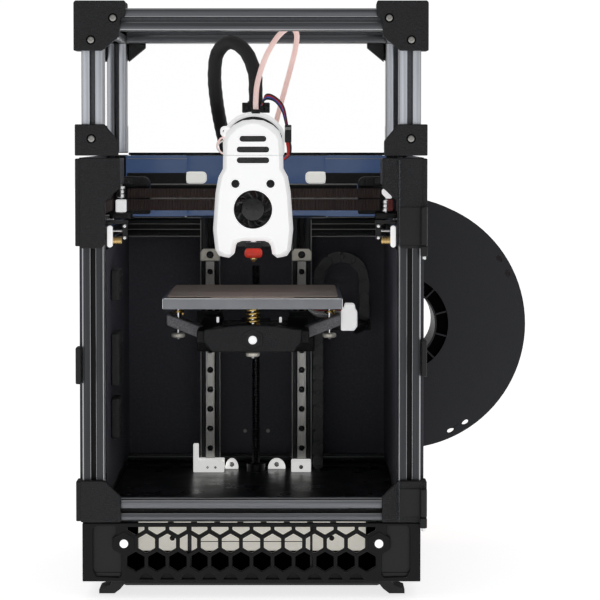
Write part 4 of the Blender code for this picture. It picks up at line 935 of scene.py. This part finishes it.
def toolhead():
    body = "toolhead"
    cowl()
    fan()
    # extruder cap behind the cowl, with the dark seam between them
    radius, centre_z = 24.0, 307.7
    arc = [(radius * math.sin(math.radians(a)), centre_z + radius * math.cos(math.radians(a)))
           for a in range(-70, 71, 7)]
    outline = [*arc, (22.0, 300.4), (-22.0, 300.4)]
    cap = plate("extruder_cap", outline, 100.5, 123.8, "white_print", body, bevel=1.2, angle=50)
    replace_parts(cap, "extruder")
    plate("extruder_seam", [(x * 0.90, (z - 300.4) * 0.888 + 300.4) for x, z in outline], 98.2, 100.5, "black_smooth",
          body, bevel=0.2)
    carrier = plate("carriage_plate", rounded((-18.8, 240.2), (18.8, 299.8), 2.0), 98.5, 101.0, "black_print", body,
                    bevel=0.4)
    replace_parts(carrier, "toolhead_carriage")
    block("rail_slider", (-11.2, 101.0, 264.9), (11.2, 103.4, 279.1), "bright_steel", body, 0.4)
    # heat sink, heater block in its sock, nozzle
    fins = [(0, 11.0)]
    for i in range(8):
        z = 10.8 - i * 2.7
        fins += [(9.0, z), (9.0, z - 1.2), (4.5, z - 1.3), (4.5, z - 2.6)]
    fins += [(4.5, -11.0), (0, -11.0)]
    sink = lathe("heat_sink", fins, (0, 85, 258.0), "black_screw", body, steps=28)
    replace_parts(sink, "hotend")
    block("heater_sock", (-6.3, 78.6, 227.2), (6.3, 91.4, 233.6), "red_silicone", body, 2.4, segments=4)
    block("heater_sock_lip", (-5.0, 79.6, 232.6), (5.0, 90.4, 234.8), "red_silicone", body, 0.9)
    block("heater_block", (-5.4, 79.5, 234.0), (5.4, 90.5, 238.4), "black_screw", body, 0.5)
    rod("heat_break", (0, 85, 242.6), 2.2, 9.0, "bright_steel", body, steps=20)
    lathe("nozzle_tip", [(0, 1.6), (2.8, 1.6), (2.8, 0.4), (0.7, -1.6), (0, -1.6)], (0, 85, 225.8), "brass", body,
          steps=24)
    block("notch_shade", (-12.0, 92.0, 234.5), (12.0, 97.0, 244.0), "fan_black", body, 0.4)
    # connector board and wiring on top
    block("cable_socket", (-8.5, 104.6, 331.0), (11.5, 113.0, 338.4), "black_smooth", body, 0.6)
    for i in range(5):
        x = -7.4 + 3.8 * i
        block(f"socket_plug_{i}", (x, 102.6, 331.6), (x + 3.0, 104.8, 336.2), "black_screw", body, 0.2)
    rod("tube_collar", (1.5, 101.0, 331.9), 3.2, 3.0, "black_smooth", body, bore=2.05)
    rod("sleeve_gland", (1.5, 109.0, 337.6), 6.1, 3.6, "black_smooth", body, bore=5.4, steps=32)
    for i, (mat, lift) in enumerate((("black_wire", 0.0), ("blue_wire", 1.2), ("red_wire", 2.3), ("black_wire", 3.2))):
        wire(f"head_wire_{i}", [(4.6 + i * 0.6, 103.4, 336.4), (9.0, 101.5, 340.8 + lift), (15.5, 99.0, 339.0 + lift),
                                (20.6 + i * 0.3, 96.5, 332.0 + lift), (23.4 + i * 0.3, 94.0, 322.0)],
             0.65, mat, body)
    block("side_plug", (22.4, 88.0, 309.6), (27.2, 96.5, 322.2), "black_smooth", body, 0.5)
    for i in range(3):
        x = 22.9 + 1.4 * i
        block(f"side_plug_pin_{i}", (x, 87.7, 318.6), (x + 0.9, 88.1, 320.6), "rail_steel", body, 0.1)
        wire(f"side_wire_{i}", [(23.6 + i * 1.3, 90.0, 310.0), (24.4 + i * 1.2, 91.0, 305.5),
                                (24.2 + i * 0.8, 93.0, 300.5), (21.5, 96.5, 297.0)], 0.65,
             "red_wire" if i < 2 else "black_wire", body)
    for i in range(2):
        wire(f"left_wire_{i}", [(-17.4, 97.5, 314.0 - 2.6 * i), (-23.4, 95.0, 312.6 - 2.4 * i),
                                (-26.2, 93.5, 307.4 - 1.0 * i), (-23.6, 94.0, 302.6), (-19.0, 97.0, 300.8)],
             0.7, "ptfe" if i == 0 else "white_wire", body)
    plate("cowl_ear", [rounded((-24.0, 313.6), (-16.4, 321.4), 3.2), circle(-20.9, 317.4, 1.5, 16)], 95.0, 98.4,
          "white_print", body, bevel=0.4)


# ---------------------------------------------------------------- bed
def spring(name, centre, radius, height, turns, body, wire_radius=0.7):
    cx, cy, cz = centre
    around = 18
    steps = turns * around
    route = [Vector((cx + radius * math.cos(2 * math.pi * i / around), cy + radius * math.sin(2 * math.pi * i / around),
                     cz + height * i / steps)) for i in range(steps + 1)]
    return tube(name, route, wire_radius, "gold_spring", body, sides=8)


def thumb_nut(name, centre, body, node):
    """A knurled flanged nut with its screw end showing."""
    form = bmesh.new()
    steps = 40
    rings = []
    for r, h in ((0.0, 1.6), (4.0, 1.6), (4.5, 1.25), (4.9, 0.9), (4.9, -0.9), (4.5, -1.25), (4.0, -1.6), (0.0, -1.6)):
        ring = []
        for k in range(steps):
            a = 2 * math.pi * k / steps
            knurl = 0.22 * (k % 2) if r > 4.6 else 0
            ring.append(form.verts.new(((r - knurl) * math.cos(a), (r - knurl) * math.sin(a), h)))
            if r == 0:
                break
        rings.append(ring)
    skin(form, rings)
    nut = finish(mesh_object(name, form, centre), "zinc", body)
    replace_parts(nut, node)
    rod(f"{name}_end", (centre[0], centre[1], centre[2] - 2.2), 1.3, 1.4, "steel", body, steps=16)


def bed():
    body = "bed"
    low, high = extent("bed_plate")
    top = plate("heated_plate", rounded((low.x, low.y), (high.x, high.y), 1.2), low.z, high.z, "bed_plate", body, "Z",
                bevel=0.45)
    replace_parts(top, "bed_plate")
    # thin bright steel strips on the plate's front top edge and sides: painted highlights
    for name, a, b in (("top", (low.x + 1, low.y - 0.04, high.z - 0.6), (high.x - 1, low.y + 0.3, high.z - 0.2)),
                       ("left", (low.x - 0.02, low.y + 0.1, low.z + 0.5), (low.x + 0.5, low.y + 0.6, high.z - 0.4)),
                       ("right", (high.x - 0.5, low.y + 0.1, low.z + 0.5), (high.x + 0.02, low.y + 0.6, high.z - 0.4))):
        block(f"heated_plate_edge_{name}", a, b, "bright_steel", body, 0.1)
    low, high = extent("build_sheet")
    coat = plate("coated_sheet", rounded((low.x, low.y), (high.x, high.y), 2.0), low.z, high.z, "sheet_coating",
                 "sheet", "Z", bevel=0.25)
    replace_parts(coat, "build_sheet")
    block("sheet_tab", (-29, low.y - 3.4, low.z), (29, low.y + 1.0, high.z - 0.1), "sheet_coating", "sheet", 0.3)
    block("magnet_layer", (low.x + 0.5, low.y + 0.6, low.z - 0.35), (high.x - 0.5, high.y - 0.6, low.z - 0.05),
          "black_smooth", body, 0.1)

    centre = [(-34.5, 170.0), (-28.5, 162.6), (28.5, 162.6), (34.5, 170.0), (34.5, 178.4), (20.0, 180.4), (9.0, 181.6),
              (-9.0, 181.6), (-20.0, 180.4), (-34.5, 178.4)]
    front = plate("carrier_front", centre, 50.2, 65.8, "black_print", body, bevel=1.0)
    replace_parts(front, "bed_carrier")
    plate("carrier_badge_rim", [circle(0, 171.2, r, 6, QUARTER) for r in (8.2, 6.8)], 49.6, 51.0, "black_smooth", body,
          bevel=0.3)
    rod("carrier_badge", (0, 50.2, 171.2), 3.0, 1.2, "white_print", body, "Y", edge=0.4)
    for side, sign in SIDES:
        arm = [(-62.6, 186.3), (-62.6, 178.2), (-33.6, 167.0), (-30.2, 170.0), (-30.2, 174.6)]
        plate(f"carrier_arm_{side}", mirrored(arm, sign), 90.2, 107.8, "arm_print", body, bevel=1.0)
        side_block("carrier_rail", side, (24.2, 39.8), (60.0, 187.0), (168.2, 177.0), "black_print", 1.0, body)
        side_block("carrier_slide", side, (25.2, 44.8), (186.7, 193.6), (150.2, 180.8), "black_print", 0.9, body)
        side_block("z_carriage", side, (26.6, 43.4), (190.0, 194.4), (152.0, 179.0), "bright_steel", 0.5, body)
        kx = sign * 54.6
        spring(f"bed_spring_{side}", (kx, 98, 186.0), 3.4, 6.8, 3, body)
        rod(f"bed_post_{side}", (kx, 98, 182.0), 1.5, 21.0, "bright_steel", body, steps=16)
        thumb_nut(f"bed_nut_{side}", (kx, 98, 170.5), f"knob_{side}", f"levelling_knob_{side}")
        x = -25.0 if sign < 0 else 19.4
        block(f"bed_clip_{side}", (x - 0.9, 66.5, 182.2), (x + 0.9, 69.0, 186.0), "white_print", body, 0.3)
    spring("bed_spring_front", (0, 58, 181.8), 4.2, 11.0, 4, body, 0.9)
    rod("bed_post_front", (0, 58, 178.0), 1.5, 30.0, "bright_steel", body, steps=16)
    thumb_nut("bed_nut_front", (0, 58, 160.5), "knob_front", "levelling_knob_front")
    block("nut_beam", (-29.8, 170.2, 165.2), (29.8, 179.8, 174.8), "black_print", body, 0.8)
    plate("nut_block", [rounded((-11, 178.2), (11, 200.8), 2.0), circle(0, 190, 3.4, 24)], 165.2, 174.8, "black_print",
          body, "Z", bevel=0.4)
    # cable cover and wires at the right arm
    cover = [(63.0, 173.8), (72.5, 173.8), (74.7, 177.0), (74.7, 187.8), (73.4, 189.2), (73.0, 192.4), (71.6, 193.4),
             (65.8, 193.4), (65.2, 190.4), (63.2, 189.0)]
    plate("bed_cable_cover", cover, 96.0, 106.0, "white_print", body, bevel=0.8)
    for i, (dz, mat) in enumerate(((0.0, "white_wire"), (1.6, "bright_steel"), (3.0, "white_wire"), (4.2, "red_wire"))):
        wire(f"bed_wire_{i}", [(38.0, 112 + i, 190.0), (44.0, 112 + i, 184.4 + dz * 0.7), (50.5, 111 + i, 183.0 + dz),
                               (57.0, 109 + i, 183.5 + dz), (63.5, 104, 184.0 + dz)], 0.8, mat, body)
    wire("bed_wire_rear", [(68.0, 105.0, 178.0), (74.0, 130.0, 171.0), (80.0, 160.0, 170.0), (83.0, 188.0, 170.5)], 2.2,
         "black_wire", body, sides=12)
    block("chain_bracket", (40.2, 188.2, 166.2), (87.8, 192.8, 172.8), "black_print", body, 0.6)
    block("chain_hook", (78.2, 188.2, 166.2), (87.8, 209.8, 172.8), "black_print", body, 0.6)


# ---------------------------------------------------------------- cable chain
def chain():
    """Links along the long leg, the arch and the short leg, with round joints."""
    left, right, arch_z, foot, end, count = 47.5, 83.0, 204.3, 59.4, 174.2, 24
    cx, radius = (left + right) / 2, (right - left) / 2
    straight = arch_z - foot
    arc = math.pi * radius
    total = straight + arc + (arch_z - end)
    pitch = total / count

    def at(s):
        if s < straight:
            return left, foot + s
        if s < straight + arc:
            a = math.pi - (s - straight) / radius
            return cx + radius * math.cos(a), arch_z + radius * math.sin(a)
        return right, arch_z - (s - straight - arc)

    form = bmesh.new()

    def add(piece):
        temp = bpy.data.meshes.new("link")
        piece.to_mesh(temp)
        piece.free()
        form.from_mesh(temp)
        bpy.data.meshes.remove(temp)

    half = pitch * 0.5
    outline = rounded((-half * 1.28, -4.3), (half * 1.28, 4.3), 3.6, 4)
    for i in range(count):
        (x0, z0), (x1, z1) = at(i * pitch), at(min(total, (i + 1) * pitch))
        turn = Matrix.Translation(((x0 + x1) / 2, 0, (z0 + z1) / 2)) @ Matrix.Rotation(
            -math.atan2(z1 - z0, x1 - x0), 4, "Y")
        # every other link is a little narrower: two cheeks and the web between them
        cheek, narrower = (1.0, 0.35) if i % 2 else (0.93, 0)
        for y0, y1, grow in ((199.2, 200.6, cheek), (208.4, 209.8, cheek), (200.4, 208.6, 0.62)):
            piece = prism_form([[(u * grow, v * grow) for u, v in outline]], y0 + narrower, y1 - narrower, "Y")
            bmesh.ops.transform(piece, matrix=turn, verts=piece.verts)
            add(piece)
        pin = bmesh.new()
        bmesh.ops.create_cone(pin, cap_ends=True, segments=18, radius1=2.0, radius2=2.0, depth=11.4)
        bmesh.ops.rotate(pin, matrix=Matrix.Rotation(QUARTER, 3, "X"), verts=pin.verts)
        bmesh.ops.translate(pin, vec=(x0, 204.5, z0), verts=pin.verts)
        add(pin)
    links = finish(mesh_object("chain_links", form, (0, 0, 0)), "chain_plastic", None, bevel=0.25)
    apply_modifiers(links)
    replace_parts(links, "cable_chain")
    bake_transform(links)


def apply_modifiers(obj):
    """The object's mesh with its bevel made real."""
    bpy.context.view_layer.update()
    graph = bpy.context.evaluated_depsgraph_get()
    made = bpy.data.meshes.new_from_object(obj.evaluated_get(graph), preserve_all_data_layers=True, depsgraph=graph)
    obj.modifiers.clear()
    obj.data = made


# ---------------------------------------------------------------- hoses
HOSE_TOP = 5  # the point near each hose's highest part where its two stretches meet
SLEEVE = [(1.5, 109.0, 338.8), (1.2, 109.2, 348.0), (0.5, 110.0, 360.0), (-6.0, 114.5, 375.5), (-17.2, 121.5, 382.6),
          (-26.8, 130.0, 375.5), (-29.5, 138.0, 360.0), (-28.6, 149.0, 342.0), (-26.2, 168.0, 324.0),
          (-22.5, 190.0, 306.0), (-17.5, 209.0, 291.0), (-14.5, 221.2, 279.0), (-14.0, 222.2, 272.4)]
FEED = [(1.5, 101.0, 333.2), (1.5, 100.6, 340.0), (2.8, 101.2, 353.0), (8.5, 105.0, 371.0), (17.5, 113.0, 386.5),
        (26.2, 123.0, 393.2), (31.0, 131.0, 389.0), (30.0, 138.0, 378.0), (26.5, 147.0, 364.0), (21.2, 160.0, 345.0),
        (16.5, 174.0, 328.0), (12.0, 190.0, 311.0), (8.5, 208.5, 293.5), (6.8, 220.8, 280.0), (6.0, 222.2, 271.2)]


def hose(name, points, radius, mat, node, sides, ridge=0.0):
    """One hose in two stretches that meet near its highest part: head to gantry, and gantry to frame."""
    route = smooth_route(points, radius * 0.8 if radius > 3 else radius * 1.2)
    cut = min(range(len(route)), key=lambda i: (route[i] - Vector(points[HOSE_TOP])).length)
    for part, piece, bodies in (("head", route[:cut + 1], ("toolhead", "gantry")),
                                ("rear", route[cut:], ("gantry", "frame"))):
        obj = tube(f"{name}_{part}", piece, radius - ridge, mat, None, sides, ridge=ridge, pitch=2)
        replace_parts(obj, node)
        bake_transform(obj)


def hoses():
    hose("sleeve", SLEEVE, 5.2, "sleeve", "umbilical_cable", 20, ridge=0.25)
    hose("feed_tube", FEED, 2.0, "ptfe", "filament_tube", 14)


# ---------------------------------------------------------------- spool and rear
SPOOL_X, SPOOL_Z = 113.6, 164.5


def spool():
    """A spool: two flanges with small paired holes, a hub with ribs about it, and wound filament."""
    body = "spool"
    cx, cz, y0, y1 = SPOOL_X, SPOOL_Z, 270.0, 328.0
    hole_ring, middle_y, rib_ring = 94.6, (y0 + y1) / 2, 34.0
    holes = []
    for quarter in range(4):
        for d in (-4.0, 4.0):
            # teardrop holes in pairs, their narrow ends towards each other
            a = math.radians(29.5 + 90 * quarter + d)
            lean = a + QUARTER
            drop = [(2.9 * math.cos(t), (1.5 + 0.35 * math.cos(t) * d / 4) * math.sin(t))
                    for t in [2 * math.pi * i / 18 for i in range(18)]]
            holes.append([(cx + hole_ring * math.cos(a) + u * math.cos(lean) - v * math.sin(lean),
                           cz + hole_ring * math.sin(a) + u * math.sin(lean) + v * math.cos(lean)) for u, v in drop])
    for place, a, b, inner, rib_y in (("front", y0, y0 + 3.2, y0 + 2.2, y0 + 1.4),
                                      ("rear", y1 - 3.2, y1, y1 - 4.2, y1 - 1.4)):
        disc = plate(f"spool_flange_{place}", [circle(cx, cz, 100, 96), circle(cx, cz, 38.8, 64), *holes], a, b,
                     "spool_black", body, bevel=0.5)
        if place == "front":
            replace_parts(disc, "spool")
        # a ring of painted shade in each flange's recess
        plate(f"spool_recess_{place}", [circle(cx, cz, 39.2, 64), circle(cx, cz, 29.0, 48)], inner, inner + 2.0,
              "painted_shade_black", body, bevel=0.2)
        rod(f"spool_rim_{place}", (cx, (a + b) / 2, cz), 39.4, 3.4, "spool_black", body, "Y", steps=72, bore=38.6)
        for k in range(12):
            angle = 2 * math.pi * (k + 0.5) / 12
            x, z = cx + rib_ring * math.cos(angle), cz + rib_ring * math.sin(angle)
            block(f"spool_rib_{place}_{k}", (x - 4.6, rib_y - 1.2, z - 0.7), (x + 4.6, rib_y + 1.2, z + 0.7),
                  "spool_black", body, 0.3, turn=(0, -math.degrees(angle), 0))
    lathe("spool_hub", [(29.4, 28.9), (29.4, -28.9), (28.0, -28.9), (28.0, 28.9)], (cx, middle_y, cz), "spool_black",
          body, "Y", 56, closed=True)
    wound = [(86.0, 25.4)]
    for i in range(29):
        z = 25.4 - i * 1.75
        wound += [(86.0, z), (86.85, z - 0.5), (86.85, z - 1.2), (86.0, z - 1.7)]
    wound += [(86.0, -25.4), (40.0, -25.4), (40.0, 25.4)]
    lathe("spool_filament", wound, (cx, middle_y, cz), "coral_filament", body, "Y", 96, closed=True)


def spool_arm():
    """The fixed arm the spool hangs on, which touches the top of its bore."""
    bore, arm_radius, gap = 28, 12, 0.6
    cx, z = SPOOL_X, SPOOL_Z + bore - arm_radius - gap
    arm = rod("spool_arm", (cx, 284.0, z), 12.0, 100.0, "black_print", "frame", "Y", steps=48, edge=1.0)
    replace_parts(arm, "spool_holder")
    lathe("spool_arm_stop", [(0, 2.0), (14.4, 2.0), (15.0, 1.4), (15.0, -1.4), (14.4, -2.0), (0, -2.0)],
          (cx, 332.6, z + 4.0), "black_print", "frame", "Y", 48)
    plate("spool_arm_foot", rounded((cx - 18, z - 35), (cx + 6, z + 30), 4.0), 233.2, 238.0, "black_print", "frame",
          bevel=0.8)
    for place, dz in (("l", -28), ("h", 24)):
        screw(f"spool_arm_screw_{place}", (cx - 6, 238.0, z + dz), 2.8, "frame", towards=1)


def drives():
    """Rear drive units: floor and lid plates, faces with tinted strips, motors, pulleys and standoffs."""
    motor, motor_y, shaft_y = (60.2, 94.8), (234.4, 268.8), 251.5
    pulley = [(0, 11.0), (7.2, 11.0), (7.2, 9.6), (6.1, 9.5), (6.1, 2.5), (7.2, 2.4), (7.2, 1.4), (6.1, 1.3),
              (6.1, -6.2), (7.2, -6.3), (7.2, -7.6), (0, -7.6)]
    for side, sign in SIDES:
        x = spans(sign, 54.8, 99.3)
        outline = rounded((x[0], 202.3), (x[1], 269.2), 3.0)
        unit = plate(f"drive_floor_{side}", outline, 251.9, 256.0, "black_print", "frame", "Z", bevel=0.6)
        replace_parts(unit, f"drive_unit_{side}")
        plate(f"drive_lid_{side}", outline, 282.8, 287.0, "black_print", "frame", "Z", bevel=0.6)
        side_block("drive_face", side, (54.8, 99.3), (202.6, 206.2), (255.8, 283.0), "black_print", 0.5)
        side_block("side_tint", side, (53.0, 99.4), (201.1, 201.9), (252.6, 299.2), "blue_tint", 0.1)
        side_block("side_tint_line", side, (53.0, 99.4), (200.8, 201.1), (296.6, 297.1), "rail_steel", 0.05)
        side_block("drive_wall", side, (56.2, 59.8), (221, 264), (255.8, 283.0), "black_print", 0.5)
        side_block("drive_motor", side, motor, motor_y, (227.0, 251.8), "motor_black", 2.2)
        side_block("drive_motor_cap", side, motor, motor_y, (225.6, 230.0), "rail_steel", 1.2)
        mx = sign * sum(motor) / 2
        lathe(f"drive_pulley_{side}", pulley, (mx, shaft_y, 267.6), "steel", "frame", steps=40)
        for i, (dx, dy) in enumerate(((-13, -13), (13, -13), (-13, 13), (13, 13))):
            screw(f"drive_screw_{side}_{i}", (mx + dx, shaft_y + dy, 286.9), 2.7, "frame", "Z", 1)
            rod(f"drive_standoff_{side}_{i}", (mx + dx, shaft_y + dy, 269.4), 2.6, 26.6, "black_smooth", "frame",
                steps=20)
    bracket = block("cable_mount", (-23.0, 215.5, 251.9), (15.0, 229.5, 268.6), "black_print", "frame", 0.8)
    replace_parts(bracket, "cable_bracket")
    rod("sleeve_rear_gland", (-14.0, 222.4, 270.0), 6.2, 3.4, "black_smooth", "frame", steps=32, bore=5.6)
    rod("tube_rear_fitting", (6.0, 222.4, 269.6), 3.6, 2.6, "blue_wire", "frame", steps=24, bore=2.2)
    # blue tinted strip above the rear bar (glowing with painted light), the ledge over it and painted highlight lines
    # along the bar's slot edges
    block("rear_tint", (-54.4, 229.8, 252.2), (54.4, 230.0, 298.6), "blue_tint", "frame", 0.05)
    block("rear_ledge", (-99.4, 229.6, 299.3), (99.4, 230.0, 301.3), "black_smooth", "frame", 0.05)
    for i, z in enumerate((251.3, 246.4, 242.2, 236.8)):
        block(f"rear_beam_line_{i}", (-98.8, 214.7, z - 0.16), (98.8, 214.95, z + 0.16), "rail_steel", "frame", 0.05)

hoses()
gantry()
tensioners()
light_pods()
toolhead()
bed()
chain()
spool()
spool_arm()
drives()
corner_prints()
hinges()
door()
top_cover()
grille()
power_unit()
z_drive()
